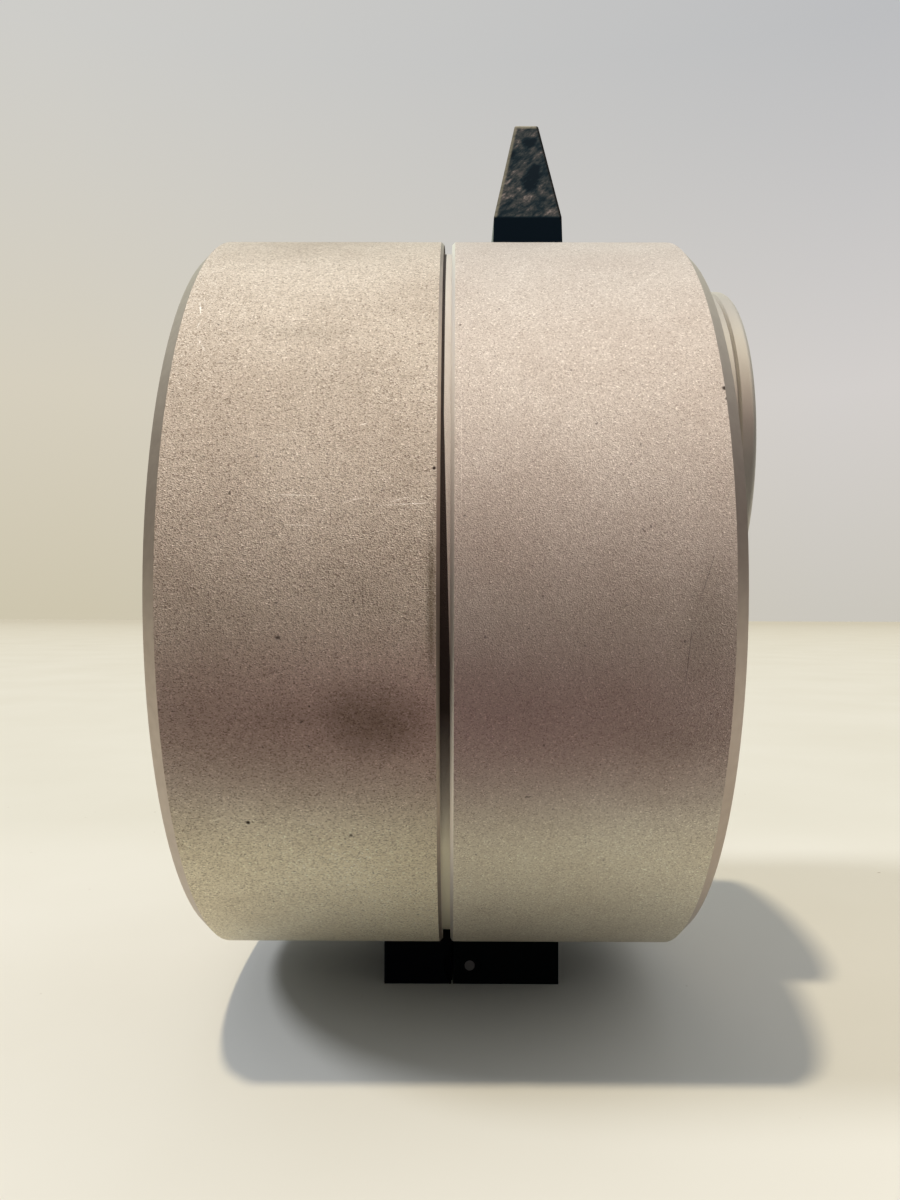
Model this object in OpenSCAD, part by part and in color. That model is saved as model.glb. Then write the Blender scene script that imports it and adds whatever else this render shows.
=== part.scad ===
// Watchman's clock: a portable clock in a drum case of two halves, hinged at the foot.
// X runs along the drum's axis towards the dial, Y away from the hinge pin's visible end, Z up.
// The origin is on the underside of the foot, below the seam between the halves.

/* [Case] */
// Outside diameter of the drum
case_d = 130; // [126:1:140]
// Length of each half along the drum's axis
half_len = 39.3; // [39:0.1:46]
// Thickness of the drum's side wall
wall = 4; // [3.5:0.1:4.5]
// Thickness of the two end walls
end_wall = 3; // [2.5:0.1:4]
// Width of the groove between the halves
seam_gap = 1.35; // [0.9:0.05:2]
// Depth of the groove, down to the spigot
seam_depth = 2; // [1.4:0.1:2.3]
// Length of the spigot inside the rear half
spigot_reach = 1.65; // [1:0.05:2]
// Chamfer of the end rims, measured on the end face
rim_chamfer_face = 1.8; // [0.5:0.1:2.4]
// Chamfer of the end rims, measured on the side
rim_chamfer_side = 2; // [0.5:0.1:3]
// Chamfer of the two edges beside the groove
seam_chamfer = 0.5; // [0.2:0.1:0.8]
// Thickness of the rubber seal in the rear half
seal_t = 0.9; // [0.6:0.1:1.5]

/* [Foot and hinge] */
// Length of the hinge block along the drum's axis, front leaf side of the pin
front_leaf_len = 16; // [13:0.05:20]
// Length of the hinge block along the drum's axis, rear leaf side of the pin
rear_leaf_len = 15.4; // [13:0.05:20]
// Depth of the hinge block across the drum
foot_depth = 32; // [28:1:38]
// Height of the foot's underside below the drum
foot_drop = 5.9; // [5.7:0.1:7]
// Distance of the hinge pin in front of the seam's middle
pin_offset = 4.15; // [4:0.05:4.8]
// Height of the hinge pin's axis above the foot's underside
pin_height = 3.3; // [3.2:0.05:3.4]
// Diameter of the hinge pin
pin_d = 1.8; // [1.6:0.1:2]
// Radius of the ears' round corner about the pin
ear_r = 2.95; // [2.8:0.05:3]
// Radius of the rear leaf's knuckle
knuckle_r = 2.3; // [2.1:0.05:2.3]
// Width of the knuckle along the pin
knuckle_w = 14; // [10:1:18]
// Thickness of the square cheeks at the front leaf's two ends
cheek_t = 1.5; // [1.2:0.1:2.5]

/* [Strap lug] */
// Distance of the lug's middle in front of the seam's middle
lug_x = 15.1; // [14.4:0.1:22]
// Width of the lug along the drum's axis at its base
lug_w = 13.4; // [12:0.1:16]
// Depth of the lug across the drum at its base
lug_depth = 13.2; // [12:0.1:16]
// Height of the lug's upright base above the drum
lug_base_h = 7.1; // [6:0.1:9]
// Height of the whole lug above the drum
lug_h = 27; // [24:0.1:30]
// Width and depth of the lug's flat top
lug_top = 4.8; // [4:0.1:6]
// Draft of the lug's upright base, on each side
lug_draft = 0.2; // [0:0.05:0.4]
// Height of the strap eye's axis above the drum
eye_height = 16; // [14:0.1:17]
// Diameter of the strap eye
eye_d = 4.6; // [3.5:0.1:4.8]

/* [Dial] */
// Height of the dial's middle above the drum's axis
dial_rise = 26; // [24:0.5:27]
// Outside diameter of the bezel
bezel_d = 64.2; // [60:0.2:68]
// Height of the bezel above the front face
bezel_h = 11.1; // [10:0.1:13]
// Height of the fixed collar under the bezel ring
collar_h = 4.4; // [3:0.1:5]
// Wall of the bezel and its collar
bezel_wall = 3.6; // [3:0.1:4]
// Height of the bead round the bezel's front edge
bead_h = 2.5; // [1.6:0.1:3]
// Radius of the bead's front corner
bead_round = 1; // [0.5:0.1:1.2]
// Thickness of the crystal
crystal_t = 2; // [1.5:0.1:2.5]
// Thickness of the dial plate
dial_t = 0.8; // [0.5:0.1:1.2]
// Length of the minute hand from its axis
minute_hand_len = 21; // [16:0.5:23]
// Length of the hour hand from its axis
hour_hand_len = 14; // [10:0.5:17]

/* [Movement] */
// Diameter of the two movement plates
plate_d = 84; // [84:1:88]
// Height of the plates' middle above the drum's axis
plate_rise = 8; // [7:0.5:9]
// Thickness of each plate
plate_t = 2; // [1.6:0.1:2.2]
// Distance between the plates
plate_gap = 20; // [19:0.1:20]
// Length of the posts between the front plate and the end wall
post_len = 4; // [4:0.1:5]
// Diameter of the pillars between the plates
pillar_d = 6; // [5:0.1:6.5]
// Height of the mainspring barrel behind its great wheel
barrel_h = 8; // [6:0.1:8.5]
// Turns of the mainspring
spring_turns = 9; // [5:1:10]
// Thickness of the mainspring's strip
spring_t = 0.4; // [0.3:0.05:0.5]
// Side of the square on the winding arbor
winding_square = 4; // [3:0.1:4.4]

/* [Chart] */
// Diameter of the recording chart
chart_d = 104; // [100:1:110]
// Thickness of the recording chart
chart_t = 0.4; // [0.2:0.1:0.6]
// Diameter of the table that carries the chart
table_d = 36; // [30:1:38]
// Diameter of the knurled chart nut
chart_nut_d = 18; // [15:1:22]

/* [Station key] */
// Distance of the key socket below the drum's axis
key_drop = 45; // [44:0.5:46]
// Diameter of the key socket's bore
key_bore_d = 8; // [7:0.1:8.4]
// Depth of the free bore in front of the marking plunger
key_depth = 12; // [10:0.5:14]
// Travel of the marking plunger
plunger_travel = 2.5; // [2:0.1:3]
// Diameter of the plunger's stem
plunger_stem_d = 3.2; // [2.5:0.1:3.6]
// Turns of the plunger's return spring
coil_turns = 7; // [4:1:8]
// Diameter of the return spring's wire
coil_wire_d = 0.8; // [0.6:0.1:0.9]
// Thickness of the keyhole cover
cover_t = 1.5; // [1:0.1:2]
// Distance from the keyhole to the cover's pivot
cover_pivot = 14; // [13:0.5:15]

/* [Lock] */
// Height of the lock's axis above the drum's axis
lock_rise = 42; // [40:0.5:43]
// Diameter of the lock's body
lock_d = 16; // [14:0.5:18]
// Length of the lock cam from the lock's axis
cam_len = 14; // [13:0.1:14.2]
// Width of the lock cam
cam_w = 7; // [5:0.1:9]

/* [Hidden] */
$fn = 96;

// Gap between solids on different bodies
body_gap = 0.3;
// Gap of the narrow parting line between the hinge leaves
parting_gap = 0.25;
// Radial clearance of a running fit
run_fit = 0.05;
// Radial clearance of a screw or stud that is held fast
held_fit = 0.02;
// Overrun of a cutting tool past the face that it cuts
over = 1;

// The drum
case_r = case_d / 2;
inner_r = case_r - wall;
spigot_r = case_r - seam_depth;
socket_r = spigot_r + body_gap;
socket_depth = spigot_reach + body_gap + seal_t;
axis_z = foot_drop + case_r;
seam_x = seam_gap / 2;
face_x = seam_x + half_len;
wall_in_x = face_x - end_wall;
corner_r = 1.5;

// The hinge
foot_front_x = pin_offset + front_leaf_len;
foot_rear_x = pin_offset - rear_leaf_len;
pin_r = pin_d / 2;
leaf_face_x = pin_offset - ear_r - parting_gap;
cheek_corner_r = sqrt(ear_r * ear_r + pin_height * pin_height);
leaf_relief_r = sqrt(pow(ear_r + parting_gap, 2) + pin_height * pin_height) + parting_gap;
leaf_relief_end = -35;
leaf_top_z = foot_drop + wall;
leaf_screw_r = 1.5;
leaf_screw_head_r = 2.75;
leaf_screw_head_h = 2;
leaf_screw_bite = 4;
leaf_screw_angle = 8.5;
front_leaf_screw_x = foot_front_x - 6;
rear_leaf_screw_x = foot_rear_x + 5;

// The lug
lug_bolt_r = 2.5;
lug_bolt_head_r = 4.5;
lug_bolt_head_h = 3;
lug_bolt_bite = 5.5;
lug_edge = 0.8;
eye_r = eye_d / 2;

// The dial and its bezel
bezel_r = bezel_d / 2;
glass_r = bezel_r - bezel_wall;
dial_r = glass_r - 0.3;
dial_open_r = glass_r - 4.4;
dial_hole_r = 3.1;
crystal_x = face_x + bezel_h - 4.4;
crystal_lip = 1.3;
hour_hand_x = face_x + dial_t + 1.2;
minute_hand_x = hour_hand_x + 1.5;
hand_t = 0.4;
minute_hand_angle = 60;
hour_hand_angle = 305;

// The movement's plates and posts
plate_r = plate_d / 2;
front_plate_out = wall_in_x - post_len;
front_plate_in = front_plate_out - plate_t;
back_plate_in = front_plate_in - plate_gap;
back_plate_out = back_plate_in - plate_t;
pillar_ring_r = plate_r - 5;
pillar_angles = [62, 118, 225, 315];
post_ring_r = plate_r - 4.5;
post_angles = [20, 160, 250];
post_r = 3.5;
post_tenon_r = 2;
post_tenon_h = 1.5;
small_screw_r = 1.2;
small_head_r = 2.3;
small_head_h = 1.2;
small_screw_bite = 4;
pivot_r = 0.8;

// The wheels: teeth and modules, which keep their share of the plates' diameter
great_teeth = 60;
centre_pinion_leaves = 10;
train_k = plate_d / 84;
great_module = 0.6 * train_k;
centre_teeth = 64;
third_pinion_leaves = 8;
centre_module = 0.5 * train_k;
third_teeth = 60;
cannon_leaves = 12;
minute_teeth = 36;
minute_module = 0.5 * train_k;
minute_pinion_leaves = 10;
hour_teeth = 40;
hour_module = 0.48 * train_k;
chart_pinion_leaves = 8;
idler_teeth = 48;
idler_module = 0.5 * train_k;
idler_pinion_leaves = 10;
chart_teeth = 40;
chart_module = 0.8 * train_k;
arbor_r = 1;
spokes = 5;
rim_web = 0.6 * train_k;
// Half the width of a pinion's leaf at its pitch circle, in degrees times the number of leaves
leaf_half_angle = 54;
// How far the face curves of a wheel's tooth are rolled out, in degrees times the number of teeth
tooth_roll = 262;

// Where the arbors stand, as [y, height above the drum's axis]
function polar_from(p, d, a) = [p[0] + d * cos(a), p[1] + d * sin(a)];
function mesh_distance(m, n1, n2) = m * (n1 + n2) / 2;
centre_at = [0, dial_rise];
barrel_at = polar_from(centre_at, mesh_distance(great_module, great_teeth, centre_pinion_leaves), 211);
third_at = polar_from(centre_at, mesh_distance(centre_module, centre_teeth, third_pinion_leaves), -25);
minute_at = polar_from(centre_at, mesh_distance(minute_module, minute_teeth, cannon_leaves), 180);
idler_from_centre = mesh_distance(idler_module, idler_teeth, chart_pinion_leaves);
idler_from_chart = mesh_distance(chart_module, chart_teeth, idler_pinion_leaves);
idler_rise = (dial_rise * dial_rise + idler_from_chart * idler_from_chart
    - idler_from_centre * idler_from_centre) / (2 * dial_rise);
idler_at = [sqrt(idler_from_chart * idler_from_chart - idler_rise * idler_rise), idler_rise];
chart_at = [0, 0];
capsule_at = polar_from(third_at, 23.2 * train_k, -57);
plate_at = [0, plate_rise];

// Where the wheels lie along X between the plates
great_wheel_x = back_plate_in + 1;
great_wheel_t = 2;
barrel_x = great_wheel_x + great_wheel_t;
barrel_r = great_module * (great_teeth / 2 - 1.35) - 0.7;
barrel_wall = 1.2;
barrel_cap_t = 1;
centre_wheel_x = barrel_x + barrel_h + barrel_cap_t + 1.5;
centre_wheel_t = 1.2;
centre_rim_r = 14 * train_k;
centre_boss_r = 4 * train_k;
third_pinion_x = centre_wheel_x - 0.7;
third_wheel_x = centre_wheel_x + centre_wheel_t + 1.7;
third_wheel_t = 1;
third_rim_r = 13 * train_k;
third_boss_r = 3 * train_k;
capsule_r = 11 * train_k;
capsule_depth = 6.4;
capsule_x = third_wheel_x - capsule_depth;

// The motion work behind the dial
cannon_x = front_plate_out + 0.6;
cannon_teeth_len = 1.9;
minute_wheel_x = cannon_x + 0.4;
minute_wheel_t = 1.1;
minute_pinion_len = 2.6;
hour_wheel_x = minute_wheel_x + minute_wheel_t + 1.3;
hour_wheel_t = 0.9;
cannon_pipe_r = 1.6;
hour_bore_r = cannon_pipe_r + 0.08;
hour_pipe_r = 2.5;
stud_r = 1.1;

// The chart train behind the back plate, counted back from the plate
idler_wheel_t = 1.2;
idler_boss_gap = 1.2;
idler_wheel_x = back_plate_out - idler_boss_gap - idler_wheel_t;
idler_pinion_len = 3.5;
idler_pinion_x = idler_wheel_x - idler_pinion_len;
chart_wheel_t = 1.4;
chart_wheel_x = idler_pinion_x + chart_wheel_t / 2;
table_t = 1.2;
table_gap = 1.8;
table_x = chart_wheel_x - table_gap - table_t;
table_r = table_d / 2;
chart_stud_r = 3;
chart_hub_r = 5;
chart_thread_r = 4;
chart_x = table_x - chart_t;
chart_nut_t = 3;
chart_nut_r = chart_nut_d / 2;
chart_hub_end = chart_x - chart_nut_t - 0.5;
stud_head_t = 1.2;

// The barrel's arbor
winding_r = 2.5;
square_end = table_x + 1.8;
click_cap_r = 8;
click_cap_t = 3;

// The key socket, the plunger and its spring
key_at = [0, -key_drop];
key_r = key_bore_d / 2;
socket_wall = 2;
flange_r = 9;
flange_t = 1.5;
socket_mouth_x = face_x + flange_t;
plunger_head_t = 4;
plunger_head_x = socket_mouth_x - key_depth - body_gap - plunger_head_t;
chamber_r = key_r + 0.6;
plunger_tip_x = table_x + body_gap + plunger_travel;
socket_end_x = back_plate_in + 1.5;
socket_floor_t = 1.5;
plunger_stem_r = plunger_stem_d / 2;
coil_wire_r = coil_wire_d / 2;
coil_r = chamber_r - 0.3 - coil_wire_r;
coil_x0 = socket_end_x + socket_floor_t;
cover_x = socket_mouth_x + body_gap;
cover_r = flange_r + 0.5;
cover_boss_r = 4.5;
cover_screw_r = 1.5;

// The platen in the rear half, behind the chart
platen_r = 7;
pad_t = 3;
pad_x = chart_x - body_gap - pad_t;

// The lock in the rear half
lock_at = [0, lock_rise];
lock_r = lock_d / 2;
lock_flange_r = lock_r + 1.5;
lock_flange_t = 1.2;
lock_front_x = -14;
plug_r = 5;
plug_nose_r = 3;
cam_t = 1.5;
cam_x = -6.9;
keyway_w = 1.6;
keyway_h = 6;
keyway_len = 20;
strike_w = 10;
strike_lip_x = cam_x - 2.6;
strike_lip_t = 1.5;
strike_foot_x = [0, lug_x - lug_bolt_head_r - 0.4];
finger_t = 2.4;
finger_top = inner_r - 1.8;
strike_lip_bottom = lock_rise + cam_len - 3;
strike_screw_x = [2.6, strike_foot_x[1] - 2.4];
strike_screw_r = 1;
strike_screw_head_r = 1.8;
strike_screw_head_h = 1.2;
strike_screw_bite = 2.5;

// Colours
anodised = [0.72, 0.69, 0.65];
black_paint = [0.05, 0.06, 0.07];
steel = [0.62, 0.63, 0.65];
blued_steel = [0.08, 0.1, 0.2];
brass = [0.8, 0.66, 0.34];
nickel = [0.8, 0.78, 0.72];
enamel = [0.93, 0.92, 0.88];
rubber = [0.1, 0.1, 0.1];
card = [0.94, 0.92, 0.84];
glass = [0.8, 0.9, 0.92, 0.35];

// Places children so that their Z runs along X, on an axis at [y, height above the drum's axis]
module on_axis(p, x = 0) {
    translate([x, p[0], axis_z + p[1]])
        rotate([0, 90, 0])
        children();
}

// Places children so that their Z points away from the drum's axis, at an angle from straight up
module radial(x, angle) {
    translate([x, 0, axis_z])
        rotate([angle, 0, 0])
        children();
}

// A bar whose outline is drawn in X and Z, and whose length lies along Y
module across(length) {
    translate([0, length / 2, 0])
        rotate([90, 0, 0])
        linear_extrude(length)
        children();
}

// A disc or ring along X on an axis
module disc(p, x, t, r, hole_r = 0) {
    on_axis(p, x)
        difference() {
            cylinder(h = t, r = r);
            if (hole_r > 0) translate([0, 0, -over]) cylinder(h = t + 2 * over, r = hole_r);
        }
}

// A screw along Z: its head's seat is at zero and its shank points up
module screw(r, bite, head_r, head_h) {
    translate([0, 0, -head_h]) cylinder(h = head_h, r = head_r);
    translate([0, 0, -0.01]) cylinder(h = bite + 0.01, r = r);
}

// The local angle that faces from one arbor to another, in on_axis's turned frame
function facing(a, b) = atan2(b[0] - a[0], -(b[1] - a[1]));

// A point of the epicycloid that a circle of radius q draws when it rolls on a circle of radius p
function epicycloid(p, q, a) = [
    (p + q) * cos(a) - q * cos((p + q) / q * a),
    (p + q) * sin(a) - q * sin((p + q) / q * a)
];

function turned(p, a) = [p[0] * cos(a) - p[1] * sin(a), p[0] * sin(a) + p[1] * cos(a)];
function at_polar(r, a) = [r * cos(a), r * sin(a)];

// One wheel tooth on a clock's cycloidal form: radial flanks, then two curved faces to the tip.
// The face curves are drawn by a circle of half the pinion's pitch radius.
function wheel_tooth(n, m, leaves, a) =
    let (p = n * m / 2, q = leaves * m / 4, half = 90 / n, roll = tooth_roll / n)
    [
        at_polar(p - 1.35 * m, a - half),
        at_polar(p, a - half),
        turned(epicycloid(p, q, roll * 0.6), a - half),
        turned(epicycloid(p, q, roll), a - half),
        turned([epicycloid(p, q, roll)[0], -epicycloid(p, q, roll)[1]], a + half),
        turned([epicycloid(p, q, roll * 0.6)[0], -epicycloid(p, q, roll * 0.6)[1]], a + half),
        at_polar(p, a + half),
        at_polar(p - 1.35 * m, a + half)
    ];

// One pinion leaf: radial flanks under a low round tip, thinner than the wheel's tooth
function pinion_leaf(n, m, a) =
    let (p = n * m / 2, half = leaf_half_angle / n)
    [
        at_polar(p - 1.6 * m, a - half),
        at_polar(p, a - half),
        at_polar(p + 0.42 * m, a - half * 0.55),
        at_polar(p + 0.55 * m, a),
        at_polar(p + 0.42 * m, a + half * 0.55),
        at_polar(p, a + half),
        at_polar(p - 1.6 * m, a + half)
    ];

// A wheel whose tooth gap faces the pinion that it drives
module wheel_teeth(n, m, leaves, gap_at, t) {
    linear_extrude(t)
        polygon([for (i = [0 : n - 1]) each wheel_tooth(n, m, leaves, gap_at + (i + 0.5) * 360 / n)]);
}

// A pinion with one leaf facing the wheel that it meshes with
module pinion_teeth(n, m, leaf_at, t) {
    linear_extrude(t)
        polygon([for (i = [0 : n - 1]) each pinion_leaf(n, m, leaf_at + i * 360 / n)]);
}

// Windows between the spokes of a wheel
module spoke_windows(rim_r, hub_r, count, t) {
    for (i = [0 : count - 1])
        rotate([0, 0, (i + 0.5) * 360 / count])
            translate([(rim_r + hub_r) / 2, 0, -over])
            cylinder(h = t + 2 * over, r = (rim_r - hub_r) / 2 - rim_web);
}

// Seat of a flat screw head inside the drum's round wall
function head_seat(head_r) = sqrt(inner_r * inner_r - head_r * head_r);

// Case

module leaf_screw_cuts(x, r) {
    for (s = [-1, 1])
        radial(x, 180 + s * leaf_screw_angle)
            translate([0, 0, inner_r - over])
            cylinder(h = leaf_screw_bite + wall + over, r = r);
}

module front_case() {
    color(anodised)
        difference() {
            on_axis(chart_at)
                rotate_extrude()
                polygon([
                    [0, wall_in_x],
                    [inner_r - corner_r, wall_in_x],
                    [inner_r, wall_in_x - corner_r],
                    [inner_r, -seam_x - spigot_reach],
                    [spigot_r, -seam_x - spigot_reach],
                    [spigot_r, seam_x],
                    [case_r - seam_chamfer, seam_x],
                    [case_r, seam_x + seam_chamfer],
                    [case_r, face_x - rim_chamfer_side],
                    [case_r - rim_chamfer_face, face_x],
                    [0, face_x]
                ]);
            disc(centre_at, wall_in_x - over, end_wall + 2 * over, dial_open_r);
            disc(key_at, wall_in_x - over, end_wall + 2 * over, key_r + socket_wall + held_fit);
            disc(polar_from(key_at, cover_pivot, 90), face_x - 2, 2 + over, cover_screw_r + held_fit);
            for (a = post_angles)
                disc(polar_from(plate_at, post_ring_r, a), wall_in_x - over,
                    post_tenon_h + held_fit + over, post_tenon_r + held_fit);
            leaf_screw_cuts(front_leaf_screw_x, leaf_screw_r + held_fit);
            radial(lug_x, 0)
                translate([0, 0, inner_r - over])
                cylinder(h = wall + 2 * over, r = lug_bolt_r + held_fit);
            for (x = strike_screw_x)
                radial(x, 0)
                    translate([0, 0, inner_r - over])
                    cylinder(h = strike_screw_bite + over, r = strike_screw_r + held_fit);
        }
}

module rear_case() {
    color(anodised)
        difference() {
            on_axis(chart_at)
                rotate_extrude()
                polygon([
                    [0, -wall_in_x],
                    [inner_r - corner_r, -wall_in_x],
                    [inner_r, -wall_in_x + corner_r],
                    [inner_r, -seam_x - socket_depth],
                    [socket_r, -seam_x - socket_depth],
                    [socket_r, -seam_x],
                    [case_r - seam_chamfer, -seam_x],
                    [case_r, -seam_x - seam_chamfer],
                    [case_r, -face_x + rim_chamfer_side],
                    [case_r - rim_chamfer_face, -face_x],
                    [0, -face_x]
                ]);
            disc(lock_at, -face_x - over, end_wall + 2 * over, lock_r + held_fit);
            leaf_screw_cuts(rear_leaf_screw_x, leaf_screw_r + held_fit);
        }
}

module seal_ring() {
    color(rubber)
        disc(chart_at, -seam_x - socket_depth, seal_t, socket_r - held_fit, inner_r);
}

// Foot and hinge

// The relief under the front leaf lets the rear leaf's lower edge swing in to a right angle
module leaf_relief() {
    translate([pin_offset, pin_height])
        difference() {
            polygon([
                [0, 0], [0, -leaf_relief_r - over], [leaf_relief_r + over, -leaf_relief_r - over],
                at_polar(2 * leaf_relief_r, leaf_relief_end)
            ]);
            circle(r = ear_r);
            difference() {
                circle(r = 4 * leaf_relief_r);
                circle(r = leaf_relief_r);
            }
        }
}

module front_leaf_outline() {
    translate([pin_offset, pin_height]) circle(r = ear_r);
    translate([pin_offset - ear_r, pin_height]) square([ear_r, leaf_top_z - pin_height]);
    difference() {
        translate([pin_offset, 0]) square([front_leaf_len, leaf_top_z]);
        leaf_relief();
    }
}

module front_hinge_leaf() {
    color(black_paint)
        difference() {
            union() {
                across(foot_depth - cheek_t) front_leaf_outline();
                for (s = [-1, 1])
                    translate([0, s * (foot_depth - cheek_t) / 2, 0])
                        across(cheek_t)
                        translate([pin_offset - ear_r, 0])
                        square([front_leaf_len + ear_r, leaf_top_z]);
            }
            disc(chart_at, foot_rear_x - over, foot_front_x - foot_rear_x + 2 * over, case_r);
            translate([foot_rear_x, -knuckle_w / 2 - body_gap, -over])
                cube([pin_offset + knuckle_r + body_gap - foot_rear_x,
                    knuckle_w + 2 * body_gap, leaf_top_z + 2 * over]);
            translate([pin_offset, 0, pin_height])
                rotate([90, 0, 0])
                cylinder(h = foot_depth + 2 * over, r = pin_r + held_fit, center = true);
            leaf_screw_cuts(front_leaf_screw_x, leaf_screw_r + held_fit);
        }
}

module rear_leaf_outline() {
    translate([foot_rear_x, 0]) square([leaf_face_x - foot_rear_x, leaf_top_z]);
}

// The groove's rib on the rear leaf stays clear of the front half and its spigot
rib_end_x = seam_x - body_gap;

module rear_hinge_leaf() {
    color(black_paint)
        difference() {
            union() {
                across(foot_depth - 2 * (cheek_t + body_gap)) rear_leaf_outline();
                across(foot_depth)
                    difference() {
                        rear_leaf_outline();
                        translate([pin_offset, pin_height]) circle(r = cheek_corner_r + body_gap);
                    }
                across(knuckle_w)
                    union() {
                        translate([pin_offset, pin_height]) circle(r = knuckle_r);
                        translate([foot_rear_x + over, pin_height - knuckle_r])
                            square([rear_leaf_len - over, 2 * knuckle_r]);
                    }
            }
            disc(chart_at, foot_rear_x - over, -seam_x - foot_rear_x + over, case_r);
            disc(chart_at, -seam_x - over / 2, 2 * rib_end_x + over, spigot_r + body_gap);
            disc(chart_at, rib_end_x, foot_front_x, case_r + body_gap);
            translate([pin_offset, 0, pin_height])
                rotate([90, 0, 0])
                cylinder(h = foot_depth + 2 * over, r = pin_r + run_fit, center = true);
            leaf_screw_cuts(rear_leaf_screw_x, leaf_screw_r + held_fit);
        }
}

module hinge_pin() {
    color(steel)
        translate([pin_offset, 0, pin_height])
        rotate([90, 0, 0])
        cylinder(h = foot_depth, r = pin_r, center = true);
}

module leaf_screws(x) {
    color(steel)
        for (s = [-1, 1])
            radial(x, 180 + s * leaf_screw_angle)
                translate([0, 0, head_seat(leaf_screw_head_r)])
                screw(leaf_screw_r, wall + leaf_screw_bite - 0.5, leaf_screw_head_r, leaf_screw_head_h);
}

module front_leaf_screws() {
    leaf_screws(front_leaf_screw_x);
}

module rear_leaf_screws() {
    leaf_screws(rear_leaf_screw_x);
}

// Strap lug

// One top corner of the lug, rounded off in three steps
function lug_corner(side, a) = [
    side * (lug_top / 2 - lug_edge * (1 - cos(a))),
    lug_h - lug_edge * (1 - sin(a))
];

// The lug's outline seen from one side: an upright base under a taper with rounded corners
module lug_outline(w) {
    polygon(concat(
        [[-w / 2, -over], [w / 2, -over], [w / 2, 0], [w / 2 - lug_draft, lug_base_h]],
        [for (a = [0 : 30 : 90]) lug_corner(1, a)],
        [for (a = [90 : -30 : 0]) lug_corner(-1, a)],
        [[-w / 2 + lug_draft, lug_base_h], [-w / 2, 0]]
    ));
}

module strap_lug() {
    color(black_paint)
        difference() {
            translate([lug_x, 0, axis_z + case_r])
                intersection() {
                    across(lug_depth) lug_outline(lug_w);
                    rotate([0, 0, 90]) across(lug_w) lug_outline(lug_depth);
                }
            disc(chart_at, lug_x - lug_w, 2 * lug_w, case_r);
            disc([0, case_r + eye_height], lug_x - lug_w, 2 * lug_w, eye_r);
            radial(lug_x, 0)
                translate([0, 0, case_r - over])
                cylinder(h = lug_bolt_bite + over, r = lug_bolt_r + held_fit);
        }
}

module lug_bolt() {
    color(steel)
        radial(lug_x, 0)
        translate([0, 0, head_seat(lug_bolt_head_r)])
        screw(lug_bolt_r, wall + lug_bolt_bite - 0.3, lug_bolt_head_r, lug_bolt_head_h);
}

// Dial and bezel

module bezel_collar() {
    color(nickel)
        on_axis(centre_at, face_x)
        rotate_extrude()
        polygon([
            [glass_r, 0], [bezel_r, 0],
            [bezel_r, collar_h - 0.4], [bezel_r - 0.4, collar_h],
            [glass_r, collar_h]
        ]);
}

// The ring has a fine groove under its bead, a rounded front corner, and a land that slopes in to the lip
bead_x = bezel_h - bead_h;
bead_steps = 5;
bead_groove = 0.35;
land_drop = 1.1;

module bezel_ring() {
    color(nickel)
        on_axis(centre_at, face_x)
        rotate_extrude()
        polygon(concat(
            [[glass_r, collar_h], [bezel_r - 0.4, collar_h], [bezel_r, collar_h + 0.4]],
            [[bezel_r, bead_x - 2 * bead_groove], [bezel_r - bead_groove, bead_x - bead_groove]],
            [[bezel_r, bead_x]],
            [for (i = [0 : bead_steps])
                [bezel_r - bead_round * (1 - cos(90 * i / bead_steps)),
                    bezel_h - bead_round * (1 - sin(90 * i / bead_steps))]],
            [[glass_r + 0.9, bezel_h - 0.3],
                [glass_r - crystal_lip, bezel_h - land_drop],
                [glass_r - crystal_lip, crystal_x - face_x + crystal_t],
                [glass_r, crystal_x - face_x + crystal_t]]
        ));
}

module crystal() {
    color(glass)
        disc(centre_at, crystal_x, crystal_t, glass_r - held_fit);
}

module dial_plate() {
    color(enamel)
        disc(centre_at, face_x, dial_t, dial_r, dial_hole_r);
}

// A straight hand with a tapered blade and a round boss, pointing at an angle past twelve
module hand(x, length, root_w, tip_w, boss_r, hole_r, past_twelve) {
    tail = boss_r + 3;
    on_axis(centre_at, x)
        rotate([0, 0, 180 - past_twelve])
        difference() {
            union() {
                cylinder(h = hand_t, r = boss_r);
                linear_extrude(hand_t)
                    polygon([
                        [-tail, -root_w * 0.7], [-tail, root_w * 0.7], [0, root_w / 2],
                        [length * 0.75, tip_w], [length, 0],
                        [length * 0.75, -tip_w], [0, -root_w / 2]
                    ]);
            }
            translate([0, 0, -over]) cylinder(h = hand_t + 2 * over, r = hole_r);
        }
}

// The hands at ten past ten
module minute_hand() {
    color(blued_steel)
        hand(minute_hand_x, minute_hand_len, 1.3, 0.9, 2.3, cannon_pipe_r + held_fit,
            minute_hand_angle);
}

module hour_hand() {
    color(blued_steel)
        hand(hour_hand_x, hour_hand_len, 1.6, 1.4, 3.2, hour_pipe_r + held_fit,
            hour_hand_angle);
}

// Motion work

module cannon_pinion() {
    color(steel)
        difference() {
            union() {
                on_axis(centre_at, cannon_x)
                    pinion_teeth(cannon_leaves, minute_module, facing(centre_at, minute_at),
                        cannon_teeth_len);
                disc(centre_at, cannon_x, minute_hand_x + hand_t + 0.4 - cannon_x, cannon_pipe_r);
            }
            disc(centre_at, cannon_x - over, minute_hand_x + 2 * over - cannon_x + over,
                arbor_r + held_fit);
        }
}

module minute_wheel() {
    color(brass)
        difference() {
            union() {
                on_axis(minute_at, minute_wheel_x)
                    wheel_teeth(minute_teeth, minute_module, cannon_leaves,
                        facing(minute_at, centre_at), minute_wheel_t);
                on_axis(minute_at, minute_wheel_x + minute_wheel_t)
                    pinion_teeth(minute_pinion_leaves, hour_module, facing(minute_at, centre_at),
                        minute_pinion_len);
            }
            disc(minute_at, minute_wheel_x - over, minute_wheel_t + minute_pinion_len + 2 * over,
                stud_r + run_fit);
        }
}

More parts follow.
